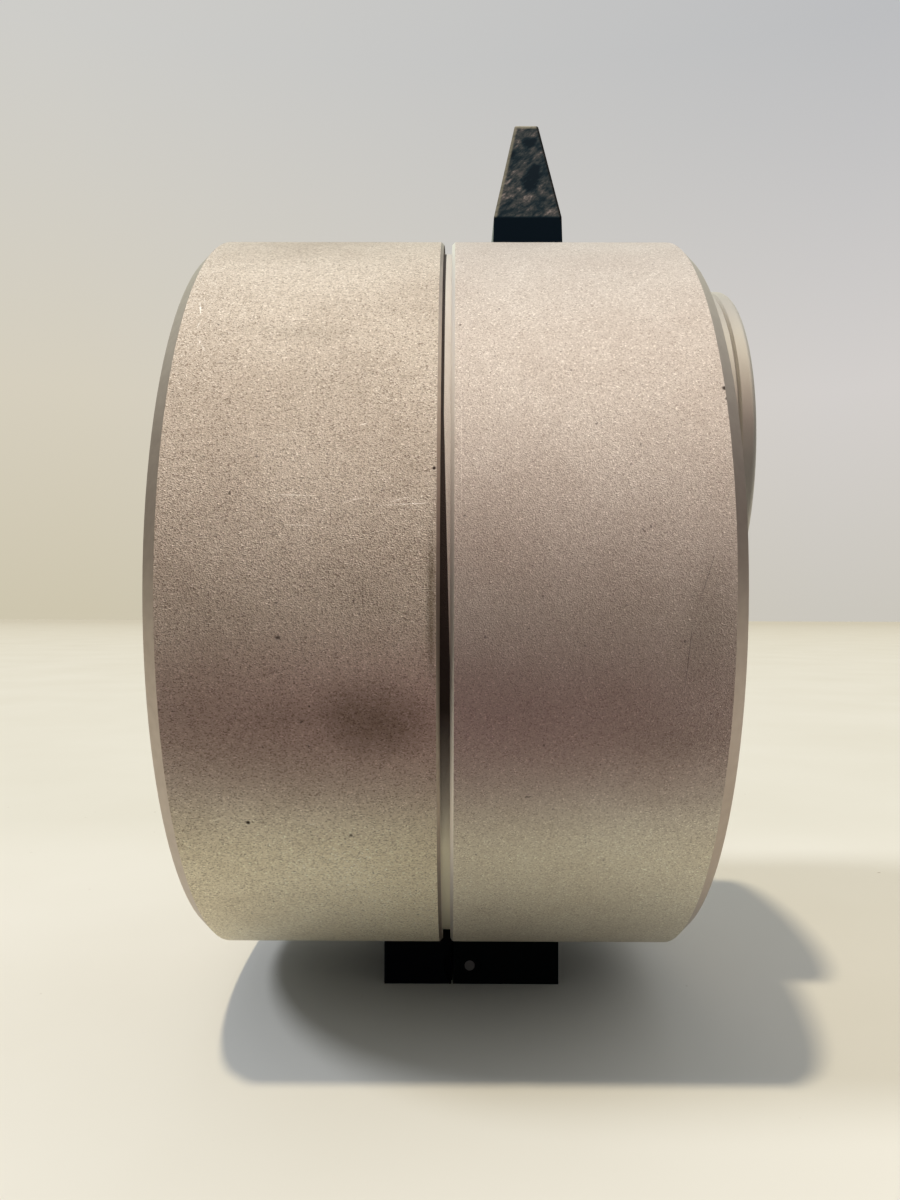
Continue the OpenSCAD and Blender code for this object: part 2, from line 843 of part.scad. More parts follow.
module minute_wheel_stud() {
    color(steel)
        union() {
            disc(minute_at, front_plate_out - plate_t, plate_t + 5.2, stud_r);
            disc(minute_at, minute_wheel_x + minute_wheel_t + minute_pinion_len + 0.2, 0.5, stud_r + 0.8);
            disc(minute_at, front_plate_out, 0.5, stud_r + 0.9);
        }
}

module hour_wheel() {
    color(brass)
        difference() {
            union() {
                on_axis(centre_at, hour_wheel_x)
                    wheel_teeth(hour_teeth, hour_module, minute_pinion_leaves,
                        facing(centre_at, minute_at), hour_wheel_t);
                disc(centre_at, hour_wheel_x, hour_hand_x + hand_t + 0.3 - hour_wheel_x, hour_pipe_r);
            }
            disc(centre_at, hour_wheel_x - over, hour_hand_x + 3 * over - hour_wheel_x, hour_bore_r);
        }
}

// Movement

module plate_holes(x) {
    for (a = pillar_angles)
        disc(polar_from(plate_at, pillar_ring_r, a), x - over, plate_t + 2 * over,
            small_screw_r + held_fit);
    disc(third_at, x - over, plate_t + 2 * over, pivot_r + run_fit);
    disc(barrel_at, x - over, plate_t + 2 * over, winding_r + run_fit);
    disc(centre_at, x - over, plate_t + 2 * over, arbor_r + run_fit);
}

module front_plate() {
    color(brass)
        difference() {
            disc(plate_at, front_plate_in, plate_t, plate_r);
            plate_holes(front_plate_in);
            disc(minute_at, front_plate_in - over, plate_t + 2 * over, stud_r + held_fit);
            for (a = post_angles)
                disc(polar_from(plate_at, post_ring_r, a), front_plate_in - over,
                    plate_t + 2 * over, small_screw_r + held_fit);
        }
}

module back_plate() {
    color(brass)
        difference() {
            disc(plate_at, back_plate_out, plate_t, plate_r);
            plate_holes(back_plate_out);
            disc(idler_at, back_plate_out - over, plate_t + 2 * over, stud_r + held_fit);
            disc(chart_at, back_plate_out - over, plate_t + 2 * over, chart_stud_r + held_fit);
        }
}

module plate_pillars() {
    color(brass)
        for (a = pillar_angles)
            difference() {
                disc(polar_from(plate_at, pillar_ring_r, a), back_plate_in, plate_gap, pillar_d / 2);
                for (x = [back_plate_in - over, front_plate_in - small_screw_bite])
                    disc(polar_from(plate_at, pillar_ring_r, a), x, small_screw_bite + over,
                        small_screw_r + held_fit);
            }
}

module pillar_screws() {
    bite = plate_t + small_screw_bite - 0.5;
    color(blued_steel)
        for (a = pillar_angles) {
            on_axis(polar_from(plate_at, pillar_ring_r, a), back_plate_out)
                screw(small_screw_r, bite, small_head_r, small_head_h);
            on_axis(polar_from(plate_at, pillar_ring_r, a), front_plate_out)
                mirror([0, 0, 1])
                screw(small_screw_r, bite, small_head_r, small_head_h);
        }
}

module movement_posts() {
    color(steel)
        for (a = post_angles)
            difference() {
                union() {
                    disc(polar_from(plate_at, post_ring_r, a), front_plate_out, post_len, post_r);
                    disc(polar_from(plate_at, post_ring_r, a), wall_in_x - 0.01, post_tenon_h + 0.01,
                        post_tenon_r);
                }
                disc(polar_from(plate_at, post_ring_r, a), front_plate_out - over,
                    post_len - 0.8 + over, small_screw_r + held_fit);
            }
}

module post_screws() {
    color(blued_steel)
        for (a = post_angles)
            on_axis(polar_from(plate_at, post_ring_r, a), front_plate_in)
                screw(small_screw_r, plate_t + post_len - 1.2, small_head_r, small_head_h);
}

// The centre wheel, its pinion and the pinion that drives the chart, on one arbor
module centre_wheel() {
    color(brass)
        union() {
            on_axis(centre_at, centre_wheel_x)
                difference() {
                    wheel_teeth(centre_teeth, centre_module, third_pinion_leaves,
                        facing(centre_at, third_at), centre_wheel_t);
                    spoke_windows(centre_rim_r, centre_boss_r, spokes, centre_wheel_t);
                }
            on_axis(centre_at, great_wheel_x - 0.4)
                pinion_teeth(centre_pinion_leaves, great_module, facing(centre_at, barrel_at),
                    great_wheel_t + 1.2);
            on_axis(centre_at, idler_wheel_x - 0.7)
                pinion_teeth(chart_pinion_leaves, idler_module, facing(centre_at, idler_at),
                    idler_wheel_t + 1);
            disc(centre_at, idler_wheel_x - 1.2, minute_hand_x + 0.2 - idler_wheel_x + 1.2, arbor_r);
        }
}

module third_wheel() {
    color(brass)
        union() {
            on_axis(third_at, third_wheel_x)
                difference() {
                    wheel_teeth(third_teeth, centre_module, third_pinion_leaves,
                        facing(third_at, capsule_at), third_wheel_t);
                    spoke_windows(third_rim_r, third_boss_r, spokes, third_wheel_t);
                }
            on_axis(third_at, third_pinion_x)
                pinion_teeth(third_pinion_leaves, centre_module, facing(third_at, centre_at),
                    third_wheel_x - third_pinion_x);
            disc(third_at, back_plate_in + 0.3, plate_gap - 0.6, arbor_r);
            disc(third_at, back_plate_out, plate_gap + 2 * plate_t, pivot_r);
        }
}

// The barrel: a great wheel with an open drum that holds the mainspring
module mainspring_barrel() {
    color(brass)
        difference() {
            union() {
                on_axis(barrel_at, great_wheel_x)
                    wheel_teeth(great_teeth, great_module, centre_pinion_leaves,
                        facing(barrel_at, centre_at), great_wheel_t);
                disc(barrel_at, barrel_x - 0.01, barrel_h + 0.01, barrel_r);
            }
            disc(barrel_at, barrel_x, barrel_h + over, barrel_r - barrel_wall);
            disc(barrel_at, great_wheel_x - over, great_wheel_t + 2 * over, winding_r + run_fit);
        }
}

module barrel_cap() {
    color(brass)
        disc(barrel_at, barrel_x + barrel_h, barrel_cap_t, barrel_r, winding_r + run_fit);
}

// The mainspring is a flat spiral: its strip runs from the arbor out to the barrel's wall
spring_steps = 20;
spring_inner_r = winding_r + body_gap;
spring_outer_r = barrel_r - barrel_wall - held_fit;

module mainspring() {
    steps = spring_turns * spring_steps;
    pitch_r = (spring_outer_r - spring_t - spring_inner_r) / steps;
    color(blued_steel)
        on_axis(barrel_at, barrel_x + 0.3)
        linear_extrude(barrel_h - 0.6)
        polygon(concat(
            [for (i = [0 : steps]) at_polar(spring_inner_r + spring_t + pitch_r * i, 360 / spring_steps * i)],
            [for (i = [steps : -1 : 0]) at_polar(spring_inner_r + pitch_r * i, 360 / spring_steps * i)]
        ));
}

module winding_arbor() {
    color(steel)
        union() {
            disc(barrel_at, back_plate_out, front_plate_out - back_plate_out, winding_r);
            on_axis(barrel_at, square_end)
                translate([-winding_square / 2, -winding_square / 2, 0])
                cube([winding_square, winding_square, back_plate_out - square_end + 0.01]);
        }
}

// A turned cap over the ratchet and its click
module click_cap() {
    color(nickel)
        difference() {
            disc(barrel_at, back_plate_out - click_cap_t, click_cap_t, click_cap_r,
                winding_square * 0.71 + body_gap);
            disc(barrel_at, back_plate_out - click_cap_t + 1, click_cap_t, click_cap_r - 1.2);
        }
}

// A sealed lever escapement: the third wheel's teeth reach in through its slot
module escapement_capsule() {
    color(nickel)
        difference() {
            disc(capsule_at, capsule_x, front_plate_in - capsule_x, capsule_r);
            disc(third_at, third_wheel_x - body_gap, third_wheel_t + 2 * body_gap,
                centre_module * third_teeth / 2 + 1.2);
        }
}

// Chart drive

module chart_idler() {
    color(brass)
        difference() {
            union() {
                on_axis(idler_at, idler_wheel_x)
                    wheel_teeth(idler_teeth, idler_module, chart_pinion_leaves,
                        facing(idler_at, centre_at), idler_wheel_t);
                on_axis(idler_at, idler_pinion_x)
                    pinion_teeth(idler_pinion_leaves, chart_module, facing(idler_at, chart_at),
                        idler_wheel_x - idler_pinion_x + 0.01);
            }
            disc(idler_at, idler_pinion_x - over, idler_wheel_x - idler_pinion_x + 4 * over,
                stud_r + run_fit);
        }
}

module idler_stud() {
    color(steel)
        union() {
            disc(idler_at, idler_pinion_x - 0.2, back_plate_in - idler_pinion_x + 0.2, stud_r);
            disc(idler_at, idler_pinion_x - 0.6, 0.4, stud_r + 0.8);
            disc(idler_at, back_plate_out - 0.9, 0.9, stud_r + 0.9);
        }
}

// The chart wheel, its hub and the table that the chart lies on
module chart_wheel() {
    color(brass)
        difference() {
            union() {
                on_axis(chart_at, chart_wheel_x)
                    wheel_teeth(chart_teeth, chart_module, idler_pinion_leaves,
                        facing(chart_at, idler_at), chart_wheel_t);
                disc(chart_at, table_x, table_t, table_r);
                disc(chart_at, table_x, back_plate_out - 1.2 - table_x, chart_hub_r);
                disc(chart_at, chart_hub_end, table_x - chart_hub_end + 0.01, chart_thread_r);
            }
            disc(chart_at, chart_hub_end - over, back_plate_out - chart_hub_end + 2 * over,
                chart_stud_r + run_fit);
        }
}

module chart_stud() {
    color(steel)
        union() {
            disc(chart_at, chart_hub_end - 0.2, back_plate_in - chart_hub_end + 0.2, chart_stud_r);
            disc(chart_at, chart_hub_end - 0.2 - stud_head_t, stud_head_t, chart_thread_r - 0.15);
            disc(chart_at, back_plate_out - 0.9, 0.9, chart_hub_r);
        }
}

module recording_chart() {
    color(card)
        disc(chart_at, chart_x, chart_t, chart_d / 2, chart_thread_r + run_fit);
}

knurls = 24;

module chart_nut() {
    color(nickel)
        difference() {
            on_axis(chart_at, chart_x - chart_nut_t)
                linear_extrude(chart_nut_t)
                polygon([for (i = [0 : 2 * knurls - 1])
                    at_polar(chart_nut_r - (i % 2) * 0.6, i * 180 / knurls)]);
            disc(chart_at, chart_x - chart_nut_t - over, chart_nut_t + 2 * over,
                chart_thread_r + held_fit);
        }
}

// Station key socket and marking plunger

// The station key's bore, and behind it a wider chamber for the plunger and its spring
module key_socket() {
    color(steel)
        difference() {
            union() {
                disc(key_at, socket_end_x, socket_mouth_x - socket_end_x, key_r + socket_wall);
                disc(key_at, face_x, flange_t, flange_r);
            }
            disc(key_at, socket_mouth_x - key_depth - over, key_depth + 2 * over, key_r);
            disc(key_at, socket_end_x - over, socket_mouth_x - key_depth - socket_end_x + over,
                chamber_r);
        }
}

// The cap closes the chamber, seats the spring and guides the plunger's stem
module socket_cap() {
    color(steel)
        difference() {
            disc(key_at, socket_end_x, socket_floor_t, chamber_r - held_fit);
            disc(key_at, socket_end_x - over, socket_floor_t + 2 * over, plunger_stem_r + run_fit);
        }
}

module socket_nut() {
    color(steel)
        difference() {
            on_axis(key_at, wall_in_x - 3)
                cylinder(h = 3, r = flange_r, $fn = 6);
            disc(key_at, wall_in_x - 3 - over, 3 + 2 * over, key_r + socket_wall + held_fit);
        }
}

// The cover is a drop shape: a large disc over the keyhole and a small one round its pivot
module keyhole_cover() {
    slope = asin((cover_r - cover_boss_r) / cover_pivot);
    neck_r = cover_r - 0.05;
    neck_boss_r = cover_boss_r - 0.05;
    color(nickel)
        difference() {
            on_axis(key_at, cover_x)
                union() {
                    cylinder(h = cover_t, r = cover_r);
                    translate([-cover_pivot, 0, 0]) cylinder(h = cover_t, r = cover_boss_r);
                    linear_extrude(cover_t)
                        polygon([
                            at_polar(neck_r, 90 + slope), at_polar(neck_r, -90 - slope),
                            at_polar(neck_boss_r, -90 - slope) + [-cover_pivot, 0],
                            at_polar(neck_boss_r, 90 + slope) + [-cover_pivot, 0]
                        ]);
                }
            disc(polar_from(key_at, cover_pivot, 90), cover_x - over, cover_t + 2 * over,
                cover_screw_r + run_fit);
        }
}

module cover_screw() {
    pivot = polar_from(key_at, cover_pivot, 90);
    color(steel)
        union() {
            disc(pivot, face_x - 1.8, cover_x + cover_t + body_gap - face_x + 1.8, cover_screw_r);
            disc(pivot, face_x, cover_x - body_gap - face_x, cover_boss_r - 0.5);
            disc(pivot, cover_x + cover_t + body_gap, 1.2, cover_boss_r - 1.2);
        }
}

module marking_plunger() {
    color(steel)
        union() {
            disc(key_at, plunger_head_x, plunger_head_t, chamber_r - run_fit);
            disc(key_at, plunger_tip_x, plunger_head_x - plunger_tip_x + 0.01, plunger_stem_r);
        }
}

// A helix of wire: rings of points along the coil, joined by faces of three points
module helix(length, r, wire_r, turns, rings_per_turn, sides) {
    rings = turns * rings_per_turn + 1;
    points = [for (i = [0 : rings - 1]) for (j = [0 : sides - 1])
        let (a = 360 * i / rings_per_turn, b = 360 * j / sides, d = r + wire_r * cos(b))
        [d * cos(a), d * sin(a), length * i / (rings - 1) + wire_r * sin(b)]];
    walls = [for (i = [0 : rings - 2]) for (j = [0 : sides - 1])
        let (k = (j + 1) % sides, p = i * sides)
        each [[p + j, p + k, p + sides + j], [p + k, p + sides + k, p + sides + j]]];
    first = [for (j = [1 : sides - 2]) [0, j + 1, j]];
    last_ring = (rings - 1) * sides;
    last = [for (j = [1 : sides - 2]) [last_ring, last_ring + j, last_ring + j + 1]];
    polyhedron(points, concat(walls, first, last));
    echo(least_gap_between_turns = length / turns - 2 * wire_r);
}

module plunger_spring() {
    color(steel)
        on_axis(key_at, coil_x0 + coil_wire_r)
        helix(plunger_head_x - coil_x0 - 2 * coil_wire_r, coil_r, coil_wire_r, coil_turns, 12, 6);
}

module platen_post() {
    color(anodised)
        disc(key_at, -wall_in_x, wall_in_x + pad_x, platen_r);
}

module platen_pad() {
    color(rubber)
        disc(key_at, pad_x, pad_t, platen_r);
}

// Lock

module lock_body() {
    color(steel)
        difference() {
            union() {
                disc(lock_at, -face_x, face_x + lock_front_x, lock_r);
                disc(lock_at, -face_x - lock_flange_t, lock_flange_t, lock_flange_r);
            }
            disc(lock_at, -face_x - lock_flange_t - over, 2 * face_x, plug_r + run_fit);
        }
}

module lock_nut() {
    color(steel)
        difference() {
            on_axis(lock_at, -wall_in_x)
                cylinder(h = 3, r = lock_r + 3.4, $fn = 6);
            disc(lock_at, -wall_in_x - over, 3 + 2 * over, lock_r + held_fit);
        }
}

module lock_plug() {
    color(nickel)
        difference() {
            union() {
                disc(lock_at, -face_x - lock_flange_t, lock_front_x + face_x + lock_flange_t, plug_r);
                disc(lock_at, lock_front_x - 0.01, cam_x - lock_front_x + 0.01, plug_nose_r);
            }
            on_axis(lock_at, -face_x - lock_flange_t - over)
                translate([-keyway_h / 2, -keyway_w / 2, 0])
                cube([keyway_h, keyway_w, keyway_len]);
            disc(lock_at, cam_x - 4, 4 + over, small_screw_r + held_fit);
        }
}

// At rest the cam points sideways, clear of the strike: a quarter turn brings it behind the lip
module lock_cam() {
    color(steel)
        difference() {
            on_axis(lock_at, cam_x)
                linear_extrude(cam_t)
                union() {
                    circle(r = cam_w / 2);
                    translate([-cam_w / 2, 0]) square([cam_w, cam_len]);
                }
            disc(lock_at, cam_x - over, cam_t + 2 * over, small_screw_r + held_fit);
        }
}

module cam_screw() {
    color(steel)
        on_axis(lock_at, cam_x + cam_t)
        mirror([0, 0, 1])
        screw(small_screw_r, cam_t + 3.5, small_head_r, small_head_h);
}

module lock_strike() {
    color(steel)
        difference() {
            intersection() {
                translate([0, 0, axis_z])
                    across(strike_w)
                    union() {
                        translate([strike_lip_x, finger_top - finger_t])
                            square([strike_foot_x[1] - strike_lip_x, finger_t]);
                        translate([strike_lip_x, strike_lip_bottom])
                            square([strike_lip_t, finger_top - strike_lip_bottom]);
                        translate([strike_foot_x[0], finger_top - finger_t])
                            square([strike_foot_x[1] - strike_foot_x[0], wall + finger_t]);
                    }
                disc(chart_at, strike_lip_x - over, strike_foot_x[1] - strike_lip_x + 2 * over, inner_r);
            }
            for (x = strike_screw_x)
                radial(x, 0)
                    translate([0, 0, finger_top - finger_t - over])
                    cylinder(h = wall + finger_t + over, r = strike_screw_r + held_fit);
        }
}

module strike_screws() {
    color(blued_steel)
        for (x = strike_screw_x)
            radial(x, 0)
                translate([0, 0, finger_top - finger_t])
                screw(strike_screw_r, inner_r + strike_screw_bite - 0.4 - finger_top + finger_t,
                    strike_screw_head_r, strike_screw_head_h);
}

front_case();
rear_case();
seal_ring();
front_hinge_leaf();
rear_hinge_leaf();
hinge_pin();
front_leaf_screws();
rear_leaf_screws();
strap_lug();
lug_bolt();
bezel_collar();
bezel_ring();
crystal();
dial_plate();
minute_hand();
hour_hand();
cannon_pinion();
minute_wheel();
minute_wheel_stud();
hour_wheel();
front_plate();
back_plate();
plate_pillars();
pillar_screws();
movement_posts();
post_screws();
centre_wheel();
third_wheel();
mainspring_barrel();
barrel_cap();
mainspring();
winding_arbor();
click_cap();
escapement_capsule();
chart_idler();
idler_stud();
chart_wheel();
chart_stud();
recording_chart();
chart_nut();
key_socket();
socket_nut();
socket_cap();
keyhole_cover();
cover_screw();
marking_plunger();
plunger_spring();
platen_post();
platen_pad();
lock_body();
lock_nut();
lock_plug();
lock_cam();
cam_screw();
lock_strike();
strike_screws();
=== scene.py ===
import math

import bmesh
import bpy
from mathutils import Matrix, Vector


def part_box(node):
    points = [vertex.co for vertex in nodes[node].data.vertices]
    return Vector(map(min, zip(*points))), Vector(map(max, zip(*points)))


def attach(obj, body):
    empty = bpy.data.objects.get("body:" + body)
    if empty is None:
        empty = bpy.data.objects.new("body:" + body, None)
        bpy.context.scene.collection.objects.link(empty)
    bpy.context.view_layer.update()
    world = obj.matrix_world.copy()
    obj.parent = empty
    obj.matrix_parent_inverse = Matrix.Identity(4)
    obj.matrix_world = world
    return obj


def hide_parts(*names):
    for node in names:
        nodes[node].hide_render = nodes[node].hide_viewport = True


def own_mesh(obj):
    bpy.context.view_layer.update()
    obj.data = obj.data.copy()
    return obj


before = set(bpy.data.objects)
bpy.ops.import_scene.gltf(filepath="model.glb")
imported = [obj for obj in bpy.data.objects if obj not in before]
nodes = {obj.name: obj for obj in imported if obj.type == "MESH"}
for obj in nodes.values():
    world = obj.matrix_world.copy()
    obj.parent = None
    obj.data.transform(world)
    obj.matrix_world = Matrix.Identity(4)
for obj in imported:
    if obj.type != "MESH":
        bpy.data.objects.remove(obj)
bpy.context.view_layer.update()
MM = 0.001


# The two halves of the drum: aluminium, turned from bar with the end wall in one piece, bead blasted
# until it sparkles, and anodised in a warm silver. The chamfers are cut afterwards and stay smooth.
# Years of rounds left smears, pits and light scratches, most of them on the rear half.
# The colour also carries painted light: shade in the groove and over the rear half's top, a dark band
# at mid height and a paler bottom, for what the metal mirrors.

DRUM_AXIS_Z = 70.9 * MM
GRIT = 0.135 * MM                                    # the dimples that blasting leaves
GRIT_DEPTH = 0.064 * MM
GROOVE_R, GROOVE_R_HALF = 63.55 * MM, 1.2 * MM       # middle and half of its depth, with a margin
GROOVE_X_HALF = 0.70 * MM


def linear(hex_colour):
    """An sRGB hex colour as the linear values that the shaders take."""
    def channel(pair):
        value = int(pair, 16) / 255
        return value / 12.92 if value <= 0.04045 else ((value + 0.055) / 1.055) ** 2.4
    return tuple(channel(hex_colour[i:i + 2]) for i in (1, 3, 5)) + (1.0,)


def add(tree, kind, settings=(), links=()):
    """Adds a node. Settings are properties or inputs' values; links name an input and its source."""
    node = tree.nodes.new(kind)
    for name, value in dict(settings).items():
        if isinstance(name, str) and hasattr(node, name):
            setattr(node, name, value)
        else:
            node.inputs[name].default_value = value
    for name, source in dict(links).items():
        tree.links.new(source, node.inputs[name])
    return node


def new_material(name):
    """An empty material, with its shader and the piece's own coordinates in metres."""
    material = bpy.data.materials.new(name)
    material.use_nodes = True
    tree = material.node_tree
    tree.nodes.clear()
    shader = add(tree, "ShaderNodeBsdfPrincipled")
    add(tree, "ShaderNodeOutputMaterial", links={"Surface": shader.outputs["BSDF"]})
    place = add(tree, "ShaderNodeTexCoord").outputs["Object"]
    return material, tree, shader, place


def noise(tree, place, size, detail, grit=0.5):
    """Noise whose patches are about size metres across."""
    return add(tree, "ShaderNodeTexNoise", {"Scale": 1 / size, "Detail": detail, "Roughness": grit},
               {"Vector": place}).outputs["Fac"]


def mapped(tree, value, low, high, start=0.0, end=1.0, kind="LINEAR"):
    """Maps the stretch of a value from low to high onto start to end, and holds it at them beyond."""
    return add(tree, "ShaderNodeMapRange", {
        "interpolation_type": kind, "From Min": low, "From Max": high, "To Min": start, "To Max": end},
        {"Value": value}).outputs[0]


def calc(tree, operation, *terms):
    """One step of arithmetic. Each term is a float or a node's output."""
    numbers = {i: term for i, term in enumerate(terms) if isinstance(term, float)}
    sources = {i: term for i, term in enumerate(terms) if not isinstance(term, float)}
    return add(tree, "ShaderNodeMath", {"operation": operation, **numbers}, sources).outputs[0]


def blend(tree, factor, first, second, mode="MIX"):
    """Goes from the first colour to the second. Each is in hex, in linear values or a node's output."""
    settings, links = {"data_type": "RGBA", "blend_type": mode}, {}
    for socket, given in ((0, factor), (6, first), (7, second)):
        if isinstance(given, str):
            settings[socket] = linear(given)
        elif isinstance(given, (float, tuple)):
            settings[socket] = given
        else:
            links[socket] = given
    return add(tree, "ShaderNodeMix", settings, links).outputs[2]


def ramp(tree, factor, stops):
    """A colour ramp. Its stops are (position, hex colour), in order."""
    node = add(tree, "ShaderNodeValToRGB", links={"Fac": factor})
    elements = node.color_ramp.elements
    for element, (position, hex_colour) in ((elements[0], stops[0]), (elements[1], stops[-1])):
        element.position, element.color = position, linear(hex_colour)
    for position, hex_colour in stops[1:-1]:
        elements.new(position).color = linear(hex_colour)
    return node.outputs["Color"]


def bump(tree, shader, height, strength, depth):
    """Fine relief in the surface, depth metres deep."""
    node = add(tree, "ShaderNodeBump", {"Strength": strength, "Distance": depth}, {"Height": height})
    tree.links.new(node.outputs["Normal"], shader.inputs["Normal"])
    return node


def spot(tree, place, centre, size, turn=(0, 0, 0), soft=0.5, strength=1.0):
    """A mark on the surface: strong inside an ellipsoid, gone outside it. Sizes are in millimetres."""
    inside = add(tree, "ShaderNodeMapping", {
        "vector_type": "TEXTURE",
        "Location": [c * MM for c in centre],
        "Rotation": [math.radians(a) for a in turn],
        "Scale": [s * MM for s in size]}, {"Vector": place})
    away = add(tree, "ShaderNodeVectorMath", {"operation": "LENGTH"}, {0: inside.outputs[0]})
    return mapped(tree, away.outputs["Value"], 1.0, 1.0 - soft, 0.0, strength, "SMOOTHSTEP")


def either(tree, masks):
    """The strongest of several masks."""
    strongest = masks[0]
    for mask in masks[1:]:
        strongest = calc(tree, "MAXIMUM", strongest, mask)
    return strongest


def facing_sideways(tree):
    """How far the surface faces along the drum's axis: 0 on the round side, 1 on a flat end."""
    normal = add(tree, "ShaderNodeTexCoord").outputs["Normal"]
    return calc(tree, "ABSOLUTE", add(tree, "ShaderNodeSeparateXYZ", links={0: normal}).outputs["X"])


def groove_wear(tree, place, colour, cut):
    """The groove's band and the front half's edge are painted pale: painted highlight. Against the rear
    half the band is painted dark, across all of it at mid height, narrower higher up and faint low
    down: painted shade in the groove."""
    at = add(tree, "ShaderNodeSeparateXYZ", links={0: place}).outputs
    rise = calc(tree, "SUBTRACT", at["Z"], DRUM_AXIS_Z)
    across = add(tree, "ShaderNodeCombineXYZ", links={"X": at["Y"], "Y": rise}).outputs[0]
    radius = add(tree, "ShaderNodeVectorMath", {"operation": "LENGTH"}, {0: across}).outputs["Value"]
    band = calc(tree, "MULTIPLY", calc(tree, "COMPARE", radius, GROOVE_R, GROOVE_R_HALF),
                calc(tree, "COMPARE", at["X"], 0.0, GROOVE_X_HALF))
    reach = mapped(tree, at["Z"], 60 * MM, 94 * MM, 0.66 * MM, -0.28 * MM)
    towards_rear_half = calc(tree, "LESS_THAN", at["X"], reach)
    shade_by_height = mapped(tree, at["Z"], 33 * MM, 54 * MM, 0.15)
    # Painted shade: the band darkens towards the rear half, most at mid height
    painted_groove_shade = calc(tree, "MULTIPLY", calc(tree, "MULTIPLY", band, towards_rear_half), shade_by_height)
    painted_edge_highlight = calc(tree, "MULTIPLY", calc(tree, "COMPARE", at["X"], 0.93 * MM, 0.26 * MM), cut)
    colour = blend(tree, either(tree, [painted_edge_highlight, band]), colour, "#f8f2e8")
    return blend(tree, painted_groove_shade, colour, "#584f4a")


def blasted_aluminium(name, look, marks):
    """Bead blasted, anodised aluminium: a rough metal whose dimples glint one by one."""
    material, tree, shader, place = new_material(name)
    shader.inputs["Metallic"].default_value = 1.0
    stretched = add(tree, "ShaderNodeMapping", {"Scale": (look["stretch"], 1, 1)}, {"Vector": place})
    dimples = add(tree, "ShaderNodeTexVoronoi", {"Scale": 1 / GRIT}, {"Vector": stretched.outputs[0]})
    glint = add(tree, "ShaderNodeSeparateColor", links={"Color": dimples.outputs["Color"]}).outputs[0]
    colour = ramp(tree, glint, (
        (0.0, look["deep"]), (0.25, look["body"]), (0.92, look["pale"]), (1.0, look["glint"])))

    # Handling leaves brown patches that follow no edge, and single smudges. Some dark marks are painted
    # shade over the rear half's lit top
    soiled = mapped(tree, noise(tree, place, 26 * MM, 6.0, 0.6), 0.4, 0.72, 0.0, look["soiling"])
    colour = blend(tree, soiled, colour, look["soil"], "MULTIPLY")
    patchy = mapped(tree, noise(tree, place, 2.4 * MM, 4.0), 0.3, 0.62, 0.75)
    smudges_and_painted_shade = either(tree, [spot(tree, place, *mark) for mark in marks["dark"]])
    colour = blend(tree, calc(tree, "MULTIPLY", smudges_and_painted_shade, patchy), colour, "#aaa496", "MULTIPLY")
    # A purple darkening is painted in a band across the front at mid height, where the metal mirrors
    # the dark room: painted reflection
    painted_dark_band = spot(tree, place, (0, -64, 52.0), (90, 20, 17), soft=1.0, strength=0.95)
    colour = blend(tree, painted_dark_band, colour, "#edd9e0", "MULTIPLY")

    # Pits are dark. Scratches are bright and skip over the dimples
    pits = mapped(tree, noise(tree, place, 0.8 * MM, 1.0), 0.76, 0.79, 0.0, 0.55)
    specks = either(tree, [spot(tree, place, *mark) for mark in marks["pits"]])
    colour = blend(tree, either(tree, [pits, specks]), colour, "#3f322b")
    skips = mapped(tree, noise(tree, place, 0.45 * MM, 2.0), 0.42, 0.56, 0.25)
    lines = either(tree, [spot(tree, place, *mark) for mark in marks["bright"]])
    scratches = calc(tree, "MULTIPLY", lines, skips)
    colour = blend(tree, scratches, colour, "#fffaf0")

    # The chamfers lean halfway between the side and the end face: they were cut after the blasting
    sideways = facing_sideways(tree)
    cut = calc(tree, "COMPARE", sideways, 0.7, 0.22)
    machined = blend(tree, noise(tree, place, 1.6 * MM, 3.0), look["cut_dark"], look["cut_light"])
    colour = groove_wear(tree, place, blend(tree, cut, colour, machined), cut)

    # Below 45 mm on the round side the colour is painted paler, most at the bottom: painted reflection
    # of the lit table
    height = add(tree, "ShaderNodeSeparateXYZ", links={0: place}).outputs["Z"]
    low = mapped(tree, height, 45 * MM, 31 * MM, 0.0, 0.38, "SMOOTHSTEP")
    under = calc(tree, "MULTIPLY", low, calc(tree, "LESS_THAN", sideways, 0.3))
    colour = blend(tree, under, colour, "#d8d2e0", "DIVIDE")
    tree.links.new(colour, shader.inputs["Base Color"])

    rough = mapped(tree, glint, 0.0, 1.0, look["rough"] + 0.04, look["rough"] - 0.04)
    roughness = add(tree, "ShaderNodeMix", {"data_type": "FLOAT", 3: 0.42},
                    {0: either(tree, [scratches, cut]), 2: rough})
    tree.links.new(roughness.outputs[0], shader.inputs["Roughness"])
    dented = bump(tree, shader, dimples.outputs["Distance"], 1.0, GRIT_DEPTH)
    tree.links.new(mapped(tree, cut, 0.0, 1.0, look["relief"], 0.04), dented.inputs["Strength"])
    return material


def dress(material, *names):
    """Gives CAD nodes their material."""
    for name in names:
        for slot in nodes[name].material_slots:
            slot.material = material


